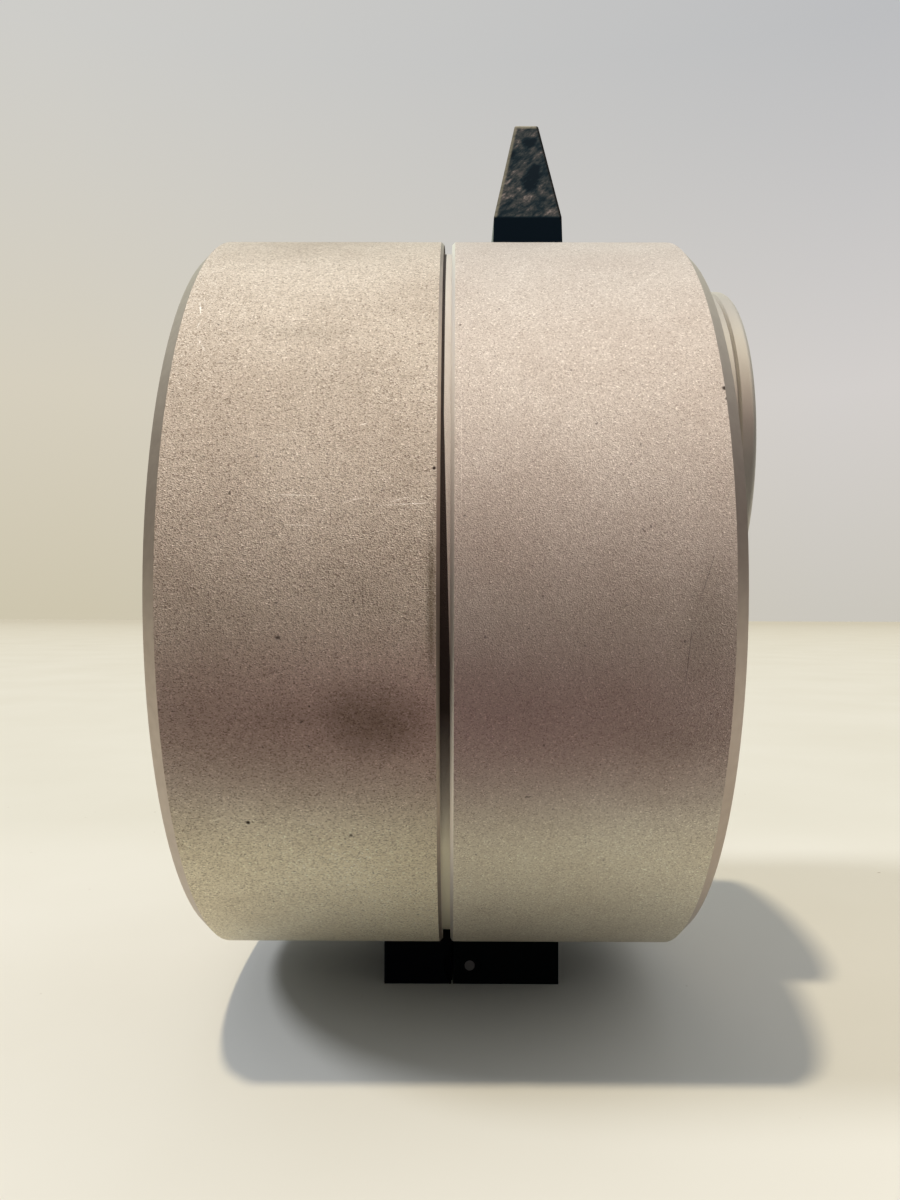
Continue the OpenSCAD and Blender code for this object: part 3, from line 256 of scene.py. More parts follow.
# Marks are (centre, half sizes, turn in degrees, softness, strength), in millimetres
front_marks = {
    "dark": [((34.0, -64, 67.0), (5, 6, 13), (0, 10, 0), 1.0, 0.25),
             ((30.0, -62, 50.0), (10, 6, 6), (0, 0, 0), 1.0, 0.2)],
    "pits": [((13.0, -64.0, 88.7), (0.33, 1, 0.3), (0, 0, 0), 0.5, 0.95),
             ((37.9, -60.0, 97.8), (0.5, 2, 0.45), (0, 0, 0), 0.5, 0.95),
             ((38.1, -60.0, 96.2), (0.4, 2, 0.35), (0, 0, 0), 0.5, 0.9),
             ((34.1, -64.0, 71.9), (0.09, 3, 5.3), (0, 18, 0), 0.8, 0.6),
             ((31.8, -64.0, 61.5), (0.09, 3, 6.2), (0, 5, 0), 0.8, 0.55),
             ((35.9, -62.0, 66.4), (0.3, 3, 0.25), (0, 0, 0), 0.5, 0.8)],
    "bright": [((2.1, -64, 100.0), (0.16, 6, 26), (0, 0, 0), 0.6, 0.5),
               ((35.6, -62.0, 67.0), (0.3, 3, 0.3), (0, 0, 0), 0.5, 1.0),
               ((38.6, -50.0, 36.2), (0.25, 4, 0.9), (0, 10, 0), 0.5, 0.7),
               ((28.7, -50.0, 30.1), (0.9, 4, 0.12), (0, 20, 0), 0.5, 0.6)],
}
rear_marks = {
    "dark": [((-9.6, -62.8, 52.4), (12.5, 8, 8.5), (0, 8, 0), 1.0, 0.78),
             ((-20.5, -64.0, 53.0), (10.0, 6, 4.2), (0, 0, 0), 1.0, 0.4),
             ((-12.0, -64.0, 70.0), (9.0, 6, 4.5), (0, 30, 0), 1.0, 0.12),
             ((-10.7, -65.0, 69.2), (0.15, 3, 4.3), (0, 0, 0), 0.9, 0.55),
             ((-1.8, -65.0, 68.0), (0.9, 3, 16), (0, 0, 0), 0.9, 0.8),
             ((-20.0, -60.0, 49.0), (30, 12, 11), (0, 0, 0), 1.0, 0.2),
             # This wide mark over the top and the faint one at 98 mm high dim the lit top: painted
             # shade, not soil
             ((-20.0, -30.0, 132.0), (34, 42, 17), (0, 0, 0), 1.0, 0.3),
             ((-20.0, -48.0, 106.5), (13, 12, 3.0), (0, 4, 0), 1.0, 0.35),
             ((-14.0, -57.0, 98.0), (16, 10, 8.0), (0, -12, 0), 1.0, 0.08)],
    "pits": [((-1.5, -63.0, 86.2), (0.3, 1, 0.3), (0, 0, 0), 0.5, 0.95),
             ((-27.4, -56.0, 37.8), (0.36, 2, 0.36), (0, 0, 0), 0.5, 0.95),
             ((-21.8, -64.5, 63.8), (0.5, 1, 0.38), (0, 0, 0), 0.8, 0.8),
             ((-17.9, -63.0, 54.7), (0.17, 1, 0.17), (0, 0, 0), 0.5, 0.9),
             ((-19.0, -62.5, 52.6), (0.42, 2, 0.2), (0, -40, 0), 0.6, 0.6),
             ((-11.9, -65.0, 68.6), (0.18, 1, 0.2), (0, 0, 0), 0.5, 0.8),
             ((-18.2, -61.5, 49.2), (0.16, 2, 0.2), (0, 0, 0), 0.5, 0.7),
             ((-13.2, -55.0, 35.8), (0.3, 2, 0.3), (0, 0, 0), 0.5, 0.8),
             ((-24.2, -64.0, 52.4), (0.4, 1, 0.3), (0, 0, 0), 0.5, 0.7)],
    "bright": [((-19.7, -63.5, 82.5), (3.7, 3, 0.13), (0, 2, 0), 0.5, 1.0),
               ((-19.1, -64.0, 78.5), (2.8, 3, 0.13), (0, 1, 0), 0.5, 1.0),
               ((-5.5, -64.0, 81.3), (4.3, 3, 0.12), (0, -3, 0), 0.5, 1.0),
               ((-5.8, -64.0, 82.0), (2.3, 3, 0.12), (0, -16, 0), 0.5, 0.9),
               ((-12.1, -64.0, 81.9), (1.9, 3, 0.11), (0, -12, 0), 0.5, 0.8),
               ((-11.1, -62.0, 92.3), (0.8, 3, 0.12), (0, -17, 0), 0.5, 0.8),
               ((-22.1, -62.0, 90.8), (1.3, 3, 0.1), (0, 0, 0), 0.5, 0.6),
               ((-31.6, -56.0, 38.3), (1.5, 4, 0.1), (0, -24, 0), 0.5, 0.6),
               ((-24.8, -54.0, 34.4), (0.1, 4, 0.65), (0, 15, 0), 0.5, 0.6),
               ((-35.8, -52.0, 111.2), (0.16, 6, 1.8), (0, -14, 0), 0.8, 1.0),
               ((-35.4, -52.0, 108.2), (0.16, 6, 1.3), (0, 13, 0), 0.8, 1.0),
               ((-34.4, -54.0, 104.6), (0.15, 6, 2.1), (0, -34, 0), 0.8, 0.8)],
}
dress(blasted_aluminium("blasted_aluminium_front", {
    "deep": "#bcb0a5", "body": "#d5ccc2", "pale": "#e2dad0", "glint": "#fbf5ec", "soil": "#b9a08f",
    "soiling": 0.22, "cut_dark": "#a8998f", "cut_light": "#b8aa9f", "stretch": 0.85, "rough": 0.62,
    "relief": 0.75}, front_marks), "front_case")
dress(blasted_aluminium("blasted_aluminium_rear", {
    "deep": "#ada091", "body": "#dad0c1", "pale": "#e8dfd2", "glint": "#fff9ee", "soil": "#a9947e",
    "soiling": 0.24, "cut_dark": "#a89a8e", "cut_light": "#c0b3a6", "stretch": 0.7, "rough": 0.66,
    "relief": 1.0}, rear_marks), "rear_case", "platen_post")


# The seal in the rear half: a flat ring of black nitrile rubber, cut from sheet and pressed into its
# seat. The pad that backs the chart under the plunger is moulded from the same rubber.

def mottled(name, dark, light, size, detail, rough, grit=0.5):
    """A material whose colour wanders between two tones. The pattern comes back with it."""
    material, tree, shader, place = new_material(name)
    pattern = noise(tree, place, size, detail, grit)
    tree.links.new(blend(tree, pattern, dark, light), shader.inputs["Base Color"])
    shader.inputs["Roughness"].default_value = rough
    return material, tree, shader, pattern


rubber, tree, shader, dust = mottled("nitrile_rubber", "#141414", "#2c2a28", 0.6 * MM, 4.0, 0.75)
bump(tree, shader, dust, 0.3, 0.02 * MM)
dress(rubber, "seal_ring", "platen_pad")


# The foot: two hinge leaves of steel, painted black, screwed on from inside the drum.
# The front leaf holds the pin in its two ears, and the rear leaf's knuckle turns on the pin.

def stoved_paint(name, body):
    """Stoved black paint, flat and hard. Where it has rubbed through, the metal shows dull grey."""
    material, tree, shader, place = new_material(name)
    shader.inputs["Specular IOR Level"].default_value = 0.04
    rubbed = noise(tree, place, 1.2 * MM, 8.0, 0.72)
    through = mapped(tree, rubbed, 0.72, 0.8, 0.0, 0.6)
    tree.links.new(blend(tree, through, body, "#4a4a46"), shader.inputs["Base Color"])
    shine = mapped(tree, noise(tree, place, 2.2 * MM, 3.0), 0.0, 1.0, 0.5, 0.7)
    tree.links.new(shine, shader.inputs["Roughness"])
    bump(tree, shader, rubbed, 0.25, 0.02 * MM)
    return material


dress(stoved_paint("stoved_black_front", "#060b0c"), "front_hinge_leaf")
dress(stoved_paint("stoved_black_rear", "#05090d"), "rear_hinge_leaf")


def turned_metal(name, dark, light, rough, axis, pitch=0.12, grain=0.5, bare=1.0):
    """Metal turned on a lathe or brushed: fine grooves, pitch millimetres apart, run round its axis.
    Where a film of dirt and old lacquer lies on it, less than all of it is bare."""
    material, tree, shader, place = new_material(name)
    shader.inputs["Metallic"].default_value = bare
    cuts = add(tree, "ShaderNodeTexWave", {
        "wave_type": "BANDS", "bands_direction": axis, "wave_profile": "SIN",
        "Scale": 0.05 / (pitch * MM), "Distortion": 1.5, "Detail": 2.0, "Detail Scale": 3.0},
        {"Vector": place}).outputs["Fac"]
    tarnish, fleck = noise(tree, place, 5 * MM, 5.0), noise(tree, place, 0.25 * MM, 2.0)
    tone = add(tree, "ShaderNodeMix", {"data_type": "FLOAT", 0: 0.35}, {2: tarnish, 3: fleck})
    tree.links.new(blend(tree, tone.outputs[0], dark, light), shader.inputs["Base Color"])
    spread = mapped(tree, tarnish, 0.0, 1.0, rough * 0.75, rough * 1.25)
    tree.links.new(spread, shader.inputs["Roughness"])
    bump(tree, shader, cuts, grain, 0.01 * MM)
    return material


bright_steel = turned_metal("turned_steel", "#8f9092", "#c9cacc", 0.3, "X")
dull_steel = turned_metal("oiled_steel", "#4c4d4f", "#7b7c7e", 0.38, "Y")
dress(dull_steel, "hinge_pin")


def slotted_screw(mesh, seat, inward, shank_r, bite, head_r, head_h, turn):
    """A cheese-head screw: a slotted head with a broken edge on its seat, and a threaded shank."""
    towards = Vector(inward).normalized()
    to_place = Matrix.Translation(Vector(seat)) @ towards.to_track_quat("Z", "Y").to_matrix().to_4x4() \
        @ Matrix.Rotation(math.radians(turn), 4, "Z")
    slot_half, slot_depth, edge = head_r * 0.14, head_h * 0.55, head_h * 0.12
    floor_h = head_h - slot_depth
    pitch, root_r = shank_r * 0.4, shank_r * 0.86
    sides, arc_steps = 32, 14

    def ring(radius, height):
        return [mesh.verts.new(to_place @ Vector((radius * math.cos(a), radius * math.sin(a), height)))
                for a in (2 * math.pi * i / sides for i in range(sides))]

    def skin(rings):
        for low, high in zip(rings, rings[1:]):
            for i in range(len(low)):
                j = (i + 1) % len(low)
                mesh.faces.new((low[i], low[j], high[j], high[i]))

    base = [ring(head_r, -floor_h), ring(head_r, 0), ring(shank_r, 0)]
    for i in range(int(bite / pitch)):
        base.append(ring(root_r, i * pitch + pitch * 0.5))
        base.append(ring(shank_r, i * pitch + pitch))
    mesh.faces.new(list(reversed(base[0])))
    skin(base)
    mesh.faces.new(base[-1])
    reach = math.asin(slot_half / head_r)
    steps = [reach + (math.pi - 2 * reach) * i / arc_steps for i in range(arc_steps + 1)]
    for side in (1, -1):
        layers = []
        for radius, height in ((head_r, -floor_h), (head_r, -head_h + edge), (head_r - edge, -head_h)):
            layers.append([mesh.verts.new(to_place @ Vector((
                radius * math.cos(a), side * max(radius * math.sin(a), slot_half), height)))
                for a in steps])
        skin(layers)
        mesh.faces.new(layers[0])
        mesh.faces.new(layers[-1])


SHARP_EDGE = 35          # degrees between two faces, from which the edge is shown sharp


def finish_mesh(name, mesh, material, body, replaces=()):
    """Turns a mesh in the making into a piece that rides on its body."""
    bmesh.ops.recalc_face_normals(mesh, faces=mesh.faces)
    data = bpy.data.meshes.new(name)
    mesh.to_mesh(data)
    mesh.free()
    piece = bpy.data.objects.new(name, data)
    bpy.context.scene.collection.objects.link(piece)
    data.materials.append(material)
    for face in data.polygons:
        face.use_smooth = True
    data.set_sharp_from_angle(angle=math.radians(SHARP_EDGE))
    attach(piece, body)
    if replaces:
        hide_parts(*replaces)


INNER_R = 61 * MM
LEAF_SCREW = {"shank_r": 1.5 * MM, "bite": 7.5 * MM, "head_r": 2.75 * MM, "head_h": 2 * MM}
LEAF_SCREW_ANGLE = 8.5


def leaf_screws(name, node, body, x):
    """The two screws of one leaf, whose heads stand on the drum's inner wall."""
    mesh = bmesh.new()
    head_seat = math.sqrt(INNER_R ** 2 - LEAF_SCREW["head_r"] ** 2)
    for side in (-1, 1):
        a = math.radians(180 + side * LEAF_SCREW_ANGLE)
        away = Vector((0, -math.sin(a), math.cos(a)))
        seat = Vector((x, 0, DRUM_AXIS_Z)) + away * head_seat
        slotted_screw(mesh, seat, away, turn=35 * side, **LEAF_SCREW)
    finish_mesh(name, mesh, bright_steel, body, (node,))


leaf_screws("front_leaf_screw_pair", "front_leaf_screws", "case", 13.7 * MM)
leaf_screws("rear_leaf_screw_pair", "rear_leaf_screws", "rear_cover", -6.4 * MM)


# The strap lug on top: a tapered steel block with an eye, painted black and bolted from inside.
# The strap has rubbed its tapered faces to a patchwork of grey and brown, streaked on the slant,
# and its edges to pale metal. The upright base, which the strap never touches, is still black.

LUG_X, LUG_TOP_Z = 15.1 * MM, 162.9 * MM
KINK_Z, KINK_HALF = 143.0 * MM, 6.5 * MM                 # where the taper starts
SHOULDER_Z, SHOULDER_HALF = 162.1 * MM, 2.4 * MM         # where it ends
LUG_TAPER = (KINK_HALF - SHOULDER_HALF) / (SHOULDER_Z - KINK_Z)

rubbed, tree, shader, place = new_material("rubbed_black_paint")
shader.inputs["Specular IOR Level"].default_value = 0.08
along_strap = add(tree, "ShaderNodeMapping", {
    "vector_type": "TEXTURE", "Rotation": (0, math.radians(-42), 0), "Scale": (2.6, 1, 1)},
    {"Vector": place}).outputs[0]
streaks = noise(tree, along_strap, 0.75 * MM, 6.0, 0.66)
patches = noise(tree, place, 3.6 * MM, 3.0)
left_black = either(tree, [spot(tree, place, (15.9, 0, 151.0), (2.6, 12, 4.6), (0, 14, 0), 0.7, 0.32),
                           spot(tree, place, (15.7, 0, 158.9), (2.3, 12, 1.7), (0, 0, 0), 0.7, 0.32)])
at = add(tree, "ShaderNodeSeparateXYZ", links={0: place}).outputs
tapered = mapped(tree, at["Z"], KINK_Z - 0.2 * MM, KINK_Z + 0.3 * MM)
wear = calc(tree, "SUBTRACT", calc(tree, "MULTIPLY_ADD", patches, 0.55, streaks), left_black)
wear = calc(tree, "MULTIPLY", mapped(tree, wear, 0.58, 0.98), tapered)
layers = ramp(tree, wear, (
    (0.0, "#071c27"), (0.3, "#26363d"), (0.6, "#4c5151"), (0.85, "#716c68"), (1.0, "#b3a49b")))

# The near edge and the top edge are rubbed to metal, with gaps
half_width = calc(tree, "MULTIPLY_ADD", at["Z"], -LUG_TAPER, KINK_Z * LUG_TAPER + KINK_HALF)
from_middle = calc(tree, "SUBTRACT", at["X"], LUG_X)
side_edge = mapped(tree, calc(tree, "ADD", half_width, from_middle), 0.7 * MM, 0.35 * MM, 0.0, 0.85)
not_flat_side = calc(tree, "LESS_THAN", facing_sideways(tree), 0.8)
side_edge = calc(tree, "MULTIPLY", side_edge, not_flat_side)
top_edge = mapped(tree, at["Z"], LUG_TOP_Z - 0.95 * MM, LUG_TOP_Z - 0.5 * MM)
edges = calc(tree, "MULTIPLY", either(tree, [side_edge, top_edge]), tapered)
edges = calc(tree, "MULTIPLY", edges, mapped(tree, streaks, 0.28, 0.5, 0.35))
colour = blend(tree, edges, layers, "#b0a892")
# A line of black is painted along the far edge, towards the dial
to_far_edge = calc(tree, "SUBTRACT", half_width, from_middle)
far_edge = mapped(tree, to_far_edge, 0.55 * MM, 0.25 * MM, 0.0, 0.85)
tree.links.new(blend(tree, far_edge, colour, "#0c0b0a"), shader.inputs["Base Color"])
tree.links.new(mapped(tree, wear, 0.0, 1.0, 0.34, 0.6), shader.inputs["Roughness"])
bump(tree, shader, streaks, 0.35, 0.03 * MM)
dress(rubbed, "strap_lug")
dress(bright_steel, "lug_bolt")


# The bezel: a brass collar fixed to the case, and a rolled ring that holds the crystal on it.
# Both are nickel plated. Handling has left them dull, with a film of old lacquer.

nickel = turned_metal("polished_nickel", "#c6bba8", "#ebe3d4", 0.24, "X", pitch=0.5, grain=0.12)
satin_nickel = turned_metal("satin_nickel", "#bcb4a6", "#d0c9bc", 0.46, "X", pitch=0.5, grain=0.12,
                            bare=0.5)
dress(satin_nickel, "bezel_collar", "bezel_ring")


# The crystal: a flat disc of glass, ground and polished, and pressed in under the bezel's ring.
# It is clear enough that the lamps reach the dial under it.

glass, tree, shader, place = new_material("crystal_glass")
for name, value in (("Base Color", linear("#f4f8f6")), ("Roughness", 0.02), ("IOR", 1.52),
                    ("Transmission Weight", 1.0), ("Alpha", 0.22)):
    shader.inputs[name].default_value = value
bump(tree, shader, noise(tree, place, 9 * MM, 2.0), 0.03, 0.02 * MM)
dress(glass, "crystal")


# The dial: a brass disc under white fired enamel, laid on the case's front wall inside the collar.
# The numerals and the minute track are printed on it in black and fired in.

DIAL_Z = 96.9 * MM
PRINT_THICK = 0.02 * MM
enamel, tree, shader, _ = mottled("fired_enamel", "#e9e5d9", "#f6f3ea", 4 * MM, 5.0, 0.18)
shader.inputs["Coat Weight"].default_value = 0.4
dress(enamel, "dial_plate")
ink = mottled("black_ink", "#101010", "#2a2826", 0.8 * MM, 4.0, 0.5)[0]


def round_face(centre_z, radius, a):
    """A point of a face across X, as (y, z), by its radius in millimetres and angle from the top."""
    return radius * MM * math.sin(a), centre_z + radius * MM * math.cos(a)


def bar(mesh, a, b, half, x, facing):
    """A printed line from a to b, given as (y, z), on a plane across X."""
    along = (Vector(b) - Vector(a)).normalized()
    side = Vector((-along[1], along[0])) * half
    corners = [Vector(a) + side, Vector(b) + side, Vector(b) - side, Vector(a) - side]
    under = [mesh.verts.new((x, c[0], c[1])) for c in corners]
    over = [mesh.verts.new((x + facing * PRINT_THICK, c[0], c[1])) for c in corners]
    mesh.faces.new(under)
    mesh.faces.new(over)
    for i in range(4):
        j = (i + 1) % 4
        mesh.faces.new((under[i], under[j], over[j], over[i]))


def circle_line(mesh, centre_z, radius, half, x, facing, segments=120):
    """A printed circle on a plane across X."""
    inner, outer = radius - half, radius + half
    rings = []
    for r, off in ((inner, 0), (outer, 0), (outer, PRINT_THICK), (inner, PRINT_THICK)):
        rings.append([mesh.verts.new((x + facing * off, r * math.sin(a), centre_z + r * math.cos(a)))
                      for a in (2 * math.pi * i / segments for i in range(segments))])
    for k in range(4):
        low, high = rings[k], rings[(k + 1) % 4]
        for i in range(segments):
            j = (i + 1) % segments
            mesh.faces.new((low[i], low[j], high[j], high[i]))


def number(mesh, value, size, centre, x, facing, turn=0.0, heavy=0.0):
    """A number in plain figures, its middle at centre, given as (y, z)."""
    curve = bpy.data.curves.new("figure", "FONT")
    curve.body, curve.size = str(value), size
    curve.align_x = curve.align_y = "CENTER"
    curve.offset, curve.extrude = heavy, PRINT_THICK / 2
    figure = bpy.data.objects.new("figure", curve)
    bpy.context.scene.collection.objects.link(figure)
    bpy.context.view_layer.update()
    shape = bpy.data.meshes.new_from_object(figure)
    low, high = [Vector(figure.bound_box[i]) for i in (0, 6)]
    to_face = Matrix(((0, 0, facing), (facing, 0, 0), (0, 1, 0))).to_4x4()
    shape.transform(Matrix.Translation((x + facing * PRINT_THICK / 2, *centre)) @ to_face
                    @ Matrix.Rotation(turn, 4, "Z") @ Matrix.Translation(-(low + high) / 2))
    mesh.from_mesh(shape)
    bpy.data.objects.remove(figure)


dial_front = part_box("dial_plate")[1][0]
mesh = bmesh.new()
for minute in range(60):
    a = 2 * math.pi * minute / 60
    inner, half = (22.0, 0.28) if minute % 5 == 0 else (23.2, 0.12)
    bar(mesh, round_face(DIAL_Z, inner, a), round_face(DIAL_Z, 24.8, a), half * MM, dial_front, 1)
circle_line(mesh, DIAL_Z, 25.0 * MM, 0.12 * MM, dial_front, 1)
circle_line(mesh, DIAL_Z, 26.2 * MM, 0.08 * MM, dial_front, 1)
for hour in range(1, 13):
    a = 2 * math.pi * hour / 12
    number(mesh, hour, 5.6 * MM, round_face(DIAL_Z, 18.3, a), dial_front, 1, heavy=0.08 * MM)
finish_mesh("dial_printing", mesh, ink, "case")


# The hands: flat steel, pressed on the cannon pinion and the hour wheel, polished and blued by heat.
# The movement's small screws are blued too, and so is the mainspring, but greyer.

def blued(name, deep, light):
    """Heat-blued steel: a dark blue oxide over a polished face, with a violet cast in places."""
    material, tree, shader, cast = mottled(name, deep, light, 2.5 * MM, 3.0, 0.25)
    shader.inputs["Metallic"].default_value = 1.0
    bump(tree, shader, cast, 0.1, 0.01 * MM)
    return material


blue_steel = blued("blued_steel", "#101a38", "#27407c")
dress(blue_steel, "minute_hand", "hour_hand")
dress(blued("spring_steel", "#20242c", "#4a5260"), "mainspring")


# The movement: two brass plates held apart by turned brass pillars, hung from the case on three
# steel posts. The wheels are cut in brass, and the studs and the winding arbor are steel.

plate_brass = turned_metal("grained_brass", "#8f7038", "#c9a75e", 0.3, "Y", pitch=0.3)
wheel_brass = turned_metal("turned_brass", "#9a7a3c", "#dcbb6f", 0.22, "X")
dress(plate_brass, "front_plate", "back_plate")
dress(wheel_brass, "plate_pillars", "minute_wheel", "hour_wheel", "centre_wheel", "third_wheel",
      "mainspring_barrel", "barrel_cap", "chart_idler", "chart_wheel")
dress(bright_steel, "movement_posts", "cannon_pinion", "minute_wheel_stud", "winding_arbor",
      "idler_stud", "chart_stud")
dress(nickel, "click_cap", "escapement_capsule", "chart_nut")

PLATE_Z = DRUM_AXIS_Z + 8 * MM
BACK_PLATE_X, FRONT_PLATE_X, POST_SEAT_X = 8.975 * MM, 32.975 * MM, 30.975 * MM
PILLAR_R, POST_R = 37 * MM, 37.5 * MM
SMALL_SCREW = {"shank_r": 1.2 * MM, "head_r": 2.3 * MM, "head_h": 1.2 * MM}


def on_plate(x, radius, degrees):
    """A point round the middle of the plates, by its angle from +Y towards +Z."""
    a = math.radians(degrees)
    return Vector((x, radius * math.cos(a), PLATE_Z + radius * math.sin(a)))


mesh = bmesh.new()
for i, angle in enumerate((62, 118, 225, 315)):
    for seat_x, inward, step in ((BACK_PLATE_X, 1, 40), (FRONT_PLATE_X, -1, 25)):
        slotted_screw(mesh, on_plate(seat_x, PILLAR_R, angle), (inward, 0, 0), bite=5.5 * MM,
                      turn=step * i, **SMALL_SCREW)
finish_mesh("pillar_screw_set", mesh, blue_steel, "case", ("pillar_screws",))

mesh = bmesh.new()
for i, angle in enumerate((20, 160, 250)):
    slotted_screw(mesh, on_plate(POST_SEAT_X, POST_R, angle), (1, 0, 0), bite=4.8 * MM, turn=30 * i,
                  **SMALL_SCREW)
finish_mesh("post_screw_set", mesh, blue_steel, "case", ("post_screws",))


# The recording chart: a card disc that turns once a day under a knurled nut.
# It is printed with hour lines and rings in thin ink, and the watchman's keys prick it.

card, tree, shader, fibre = mottled("uncoated_card", "#e3dbc2", "#f3eddb", 0.5 * MM, 6.0, 0.85,
                                    grit=0.7)
bump(tree, shader, fibre, 0.2, 0.02 * MM)
dress(card, "recording_chart")

chart_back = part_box("recording_chart")[0][0]
mesh = bmesh.new()
for quarter in range(96):
    a = 2 * math.pi * quarter / 96
    inner, half = (20.0, 0.14) if quarter % 4 == 0 else (46.6, 0.07)
    bar(mesh, round_face(DRUM_AXIS_Z, inner, a), round_face(DRUM_AXIS_Z, 48.0, a), half * MM,
        chart_back, -1)
for radius in (20, 26, 32, 38, 43, 48):
    circle_line(mesh, DRUM_AXIS_Z, radius * MM, 0.1 * MM, chart_back, -1)
for hour in range(1, 25):
    a = 2 * math.pi * hour / 24
    number(mesh, hour, 2.6 * MM, round_face(DRUM_AXIS_Z, 49.9, -a), chart_back, -1, turn=-a)
finish_mesh("chart_printing", mesh, ink, "chart_table")


# The station key's socket: a steel tube through the front wall, held by a nut, with a sprung plunger
# that pricks the chart. A nickel-plated cover swings over the keyhole on its screw.

dress(bright_steel, "key_socket", "socket_nut", "socket_cap", "marking_plunger", "plunger_spring",
      "cover_screw")
dress(nickel, "keyhole_cover")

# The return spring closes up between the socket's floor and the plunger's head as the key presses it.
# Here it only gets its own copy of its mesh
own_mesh(nodes["plunger_spring"])


# The lock in the rear half: a steel body with a nickel-plated plug, clamped in the wall by its nut.
# The plug's cam, held by a screw, catches the steel strike that is screwed into the front half.

dress(bright_steel, "lock_body", "lock_nut", "lock_cam", "lock_strike")
dress(nickel, "lock_plug")
LOCK_Z = DRUM_AXIS_Z + 42 * MM
STRIKE_Z = DRUM_AXIS_Z + 56.8 * MM
mesh = bmesh.new()
slotted_screw(mesh, (-5.4 * MM, 0, LOCK_Z), (-1, 0, 0), bite=5 * MM, turn=20, **SMALL_SCREW)
finish_mesh("cam_screw_head", mesh, blue_steel, "lock", ("cam_screw",))
mesh = bmesh.new()
for i, x in enumerate((2.6 * MM, 7.8 * MM)):
    slotted_screw(mesh, (x, 0, STRIKE_Z), (0, 0, 1), shank_r=1 * MM, bite=6.3 * MM, head_r=1.8 * MM,
                  head_h=1.2 * MM, turn=50 * i)
finish_mesh("strike_screw_pair", mesh, blue_steel, "case", ("strike_screws",))


# The room: a cream table top that runs back to a pale grey wall, under two lamps and a soft ceiling.
# The table looks a little mottled, with a few crumbs of dirt, as painted board does.

TABLE_EDGE, TABLE_BACK_Y = 8.0, 6.0


def table_paint():
    """Cream paint on board: matt, softly mottled, with specks. Further back it is painted darker, a
    painted shade that ends in the wall's colour.
    """
    material, tree, shader, place = new_material("painted_board")
    board = blend(tree, noise(tree, place, 90 * MM, 4.0), "#e1ddce", "#ebe8dc")
    speck = mapped(tree, noise(tree, place, 2.2 * MM, 1.0), 0.8, 0.82, 0.0, 0.5)
    depth = add(tree, "ShaderNodeSeparateXYZ", links={0: place}).outputs["Y"]
    painted_far_shade = ramp(tree, mapped(tree, depth, 0.0, TABLE_BACK_Y), (
        (0.0, "#ffffff"), (0.02, "#f1f1ee"), (0.38, "#e7e5de"), (0.8, "#d8d4ca")))
    toned = blend(tree, 1.0, blend(tree, speck, board, "#a3937c"), painted_far_shade, "MULTIPLY")
    # Light that was scattered before comes back from it dimmer, so that the clock's shadow stays deep
    bounces = add(tree, "ShaderNodeLightPath").outputs["Diffuse Depth"]
    dimmed = blend(tree, calc(tree, "GREATER_THAN", bounces, 0.5), toned, "#8a909c", "MULTIPLY")
    tree.links.new(dimmed, shader.inputs["Base Color"])
    shader.inputs["Roughness"].default_value = 0.9
    shader.inputs["Specular IOR Level"].default_value = 0.0
    return material


def sheet_of(name, corners, material):
    """A flat sheet of the stage."""
    data = bpy.data.meshes.new(name)
    data.from_pydata(corners, [], [tuple(range(len(corners)))])
    data.materials.append(material)
    sheet = bpy.data.objects.new(name, data)
    bpy.context.scene.collection.objects.link(sheet)
    return sheet


sheet_of("table_top", [(-TABLE_EDGE, -TABLE_EDGE, 0), (TABLE_EDGE, -TABLE_EDGE, 0),
                       (TABLE_EDGE, TABLE_BACK_Y, 0), (-TABLE_EDGE, TABLE_BACK_Y, 0)], table_paint())

# Dark cloth on the table, from in front of the clock towards the camera and past it. Only the metal's
# reflections show it
CLOTH_NEAR_Y, CLOTH_FAR_Y, CLOTH_Z = -85 * MM, -5.0, 1 * MM
dark_cloth, tree, shader, place = new_material("dark_cloth")
shader.inputs["Base Color"].default_value = linear("#1b1410")
shader.inputs["Roughness"].default_value = 1.0
for name, far_end, near_end in (("dark_flag", (-1.5, 1.8), (-1.5, 0.072)),
                                ("dark_flag_right", (2.0, 3.0), (0.096, 3.0))):
    flag = sheet_of(name, [(far_end[0], CLOTH_FAR_Y, CLOTH_Z), (far_end[1], CLOTH_FAR_Y, CLOTH_Z),
                           (near_end[1], CLOTH_NEAR_Y, CLOTH_Z), (near_end[0], CLOTH_NEAR_Y, CLOTH_Z)],
                    dark_cloth)
    flag.visible_camera = flag.visible_diffuse = flag.visible_shadow = flag.visible_transmission = False


def lamp(name, towards, strength, degrees, hex_colour):
    """A far lamp, seen from the clock in the direction towards it, as wide as the angle says."""
    data = bpy.data.lights.new(name, "SUN")
    data.energy, data.angle, data.color = strength, math.radians(degrees), linear(hex_colour)[:3]
    light = bpy.data.objects.new(name, data)
    light.rotation_euler = Vector(towards).to_track_quat("Z", "Y").to_euler()
    light.visible_glossy = False
    bpy.context.scene.collection.objects.link(light)


lamp("left_window", (-0.87, -0.10, 1.0), strength=1.25, degrees=13.0, hex_colour="#e9efff")
lamp("ceiling_lamp", (-0.19, -0.19, 1.0), strength=1.5, degrees=3.0, hex_colour="#fff1d6")

scene = bpy.context.scene
world = bpy.data.worlds.new("room")
scene.world = world
world.use_nodes = True
tree = world.node_tree
tree.nodes.clear()
direction = add(tree, "ShaderNodeTexCoord").outputs["Generated"]
aim = add(tree, "ShaderNodeSeparateXYZ", links={0: direction}).outputs

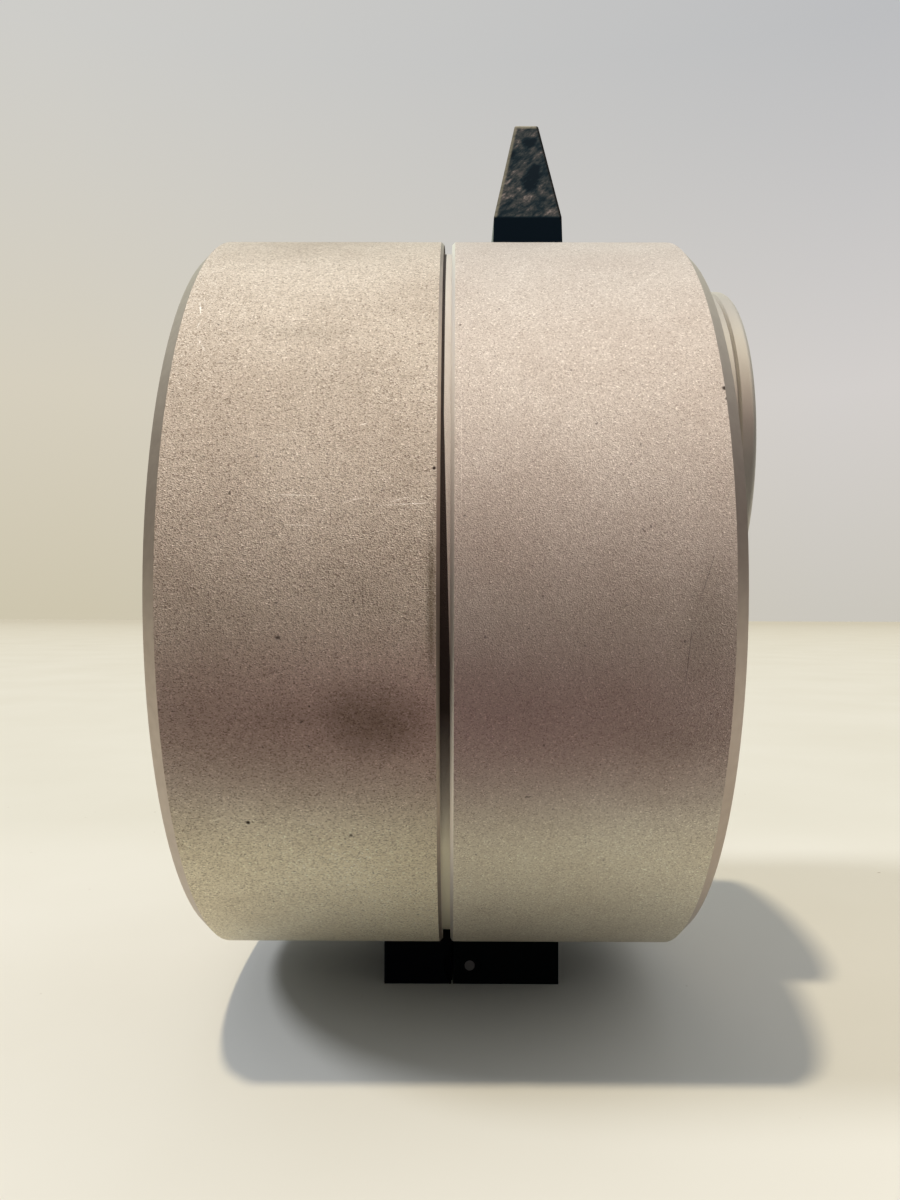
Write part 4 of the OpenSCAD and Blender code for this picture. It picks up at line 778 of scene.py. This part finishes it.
# What the metal mirrors, by the angle over the drum from the photographer's side: a dim front of the
# room, the bright ceiling overhead and the wall behind. The ceiling is brighter than white paint
CEILING_GAIN = 2.2
over = calc(tree, "ARCTAN2", aim["Z"], calc(tree, "MULTIPLY", aim["Y"], -1.0))
arch = ramp(tree, mapped(tree, over, 0.0, math.pi), (
    (0.05, "#33282c"), (0.14, "#8c7475"), (0.23, "#a8978f"), (0.30, "#e2d8cc"), (0.40, "#fffaf0"),
    (0.47, "#fffff6"), (0.54, "#cacbd0"), (0.64, "#9ea2a8"), (0.80, "#a8aea0")))
lifted = blend(tree, 1.0, arch, (CEILING_GAIN, CEILING_GAIN, CEILING_GAIN, 1.0), "MULTIPLY")
side_room = blend(tree, mapped(tree, aim["X"], -0.5, 0.5), "#918e88", "#757070")
to_side = mapped(tree, calc(tree, "ABSOLUTE", aim["X"]), 0.6, 0.97, kind="SMOOTHSTEP")
mirrored = blend(tree, to_side, lifted, side_room)

# The wall that the camera sees: warm at the left and low down, cool and darker at the upper right
wall_height = mapped(tree, aim["Z"], 0.0, 0.5)
left_wall = ramp(tree, wall_height, ((0.0, "#cec6af"), (0.42, "#d6cfbe"), (1.0, "#cecdc9")))
right_wall = ramp(tree, wall_height, ((0.0, "#cbc7be"), (0.42, "#d3cfcc"), (1.0, "#bdbec0")))
wall_paint = blend(tree, mapped(tree, aim["X"], -0.36, 0.36), left_wall, right_wall)

# The light that matt surfaces take from the room: cool, and weak from the front
from_sides = blend(tree, mapped(tree, aim["X"], -0.4, 0.8), "#bac0ca", "#eceef2")
ambient = blend(tree, mapped(tree, aim["Y"], 0.2, -0.9, kind="SMOOTHSTEP"), from_sides, "#66686c")

rays = add(tree, "ShaderNodeLightPath").outputs
plain = either(tree, [rays["Is Camera Ray"], rays["Is Transmission Ray"]])
unscattered = calc(tree, "LESS_THAN", rays["Diffuse Depth"], 0.5)
mirror = calc(tree, "MULTIPLY", rays["Is Glossy Ray"], unscattered)
shown = blend(tree, plain, blend(tree, mirror, ambient, mirrored), wall_paint)
back = add(tree, "ShaderNodeBackground", links={"Color": shown})
add(tree, "ShaderNodeOutputWorld", links={"Surface": back.outputs[0]})
scene.view_settings.view_transform = "Standard"

# The camera stands 189 mm in front of the drum's middle and a little below its axis, nearly level
CAMERA_AT = (1.233 * MM, -188.74 * MM, 67.455 * MM)
PAN, TILT, ROLL = 0.004738, 0.010607, -0.0028277         # radians
eye = bpy.data.cameras.new("camera")
eye.sensor_fit, eye.sensor_height, eye.lens, eye.clip_start = "VERTICAL", 36.0, 28.59, 0.01
camera = bpy.data.objects.new("camera", eye)
scene.collection.objects.link(camera)
turn = Matrix.Rotation(PAN, 3, "Z") @ Matrix.Rotation(TILT, 3, "X") @ Matrix.Rotation(ROLL, 3, "Y")
facing = Matrix((turn.col[0], turn.col[2], -turn.col[1])).transposed()
camera.matrix_world = Matrix.Translation(CAMERA_AT) @ facing.to_4x4()
scene.camera = camera
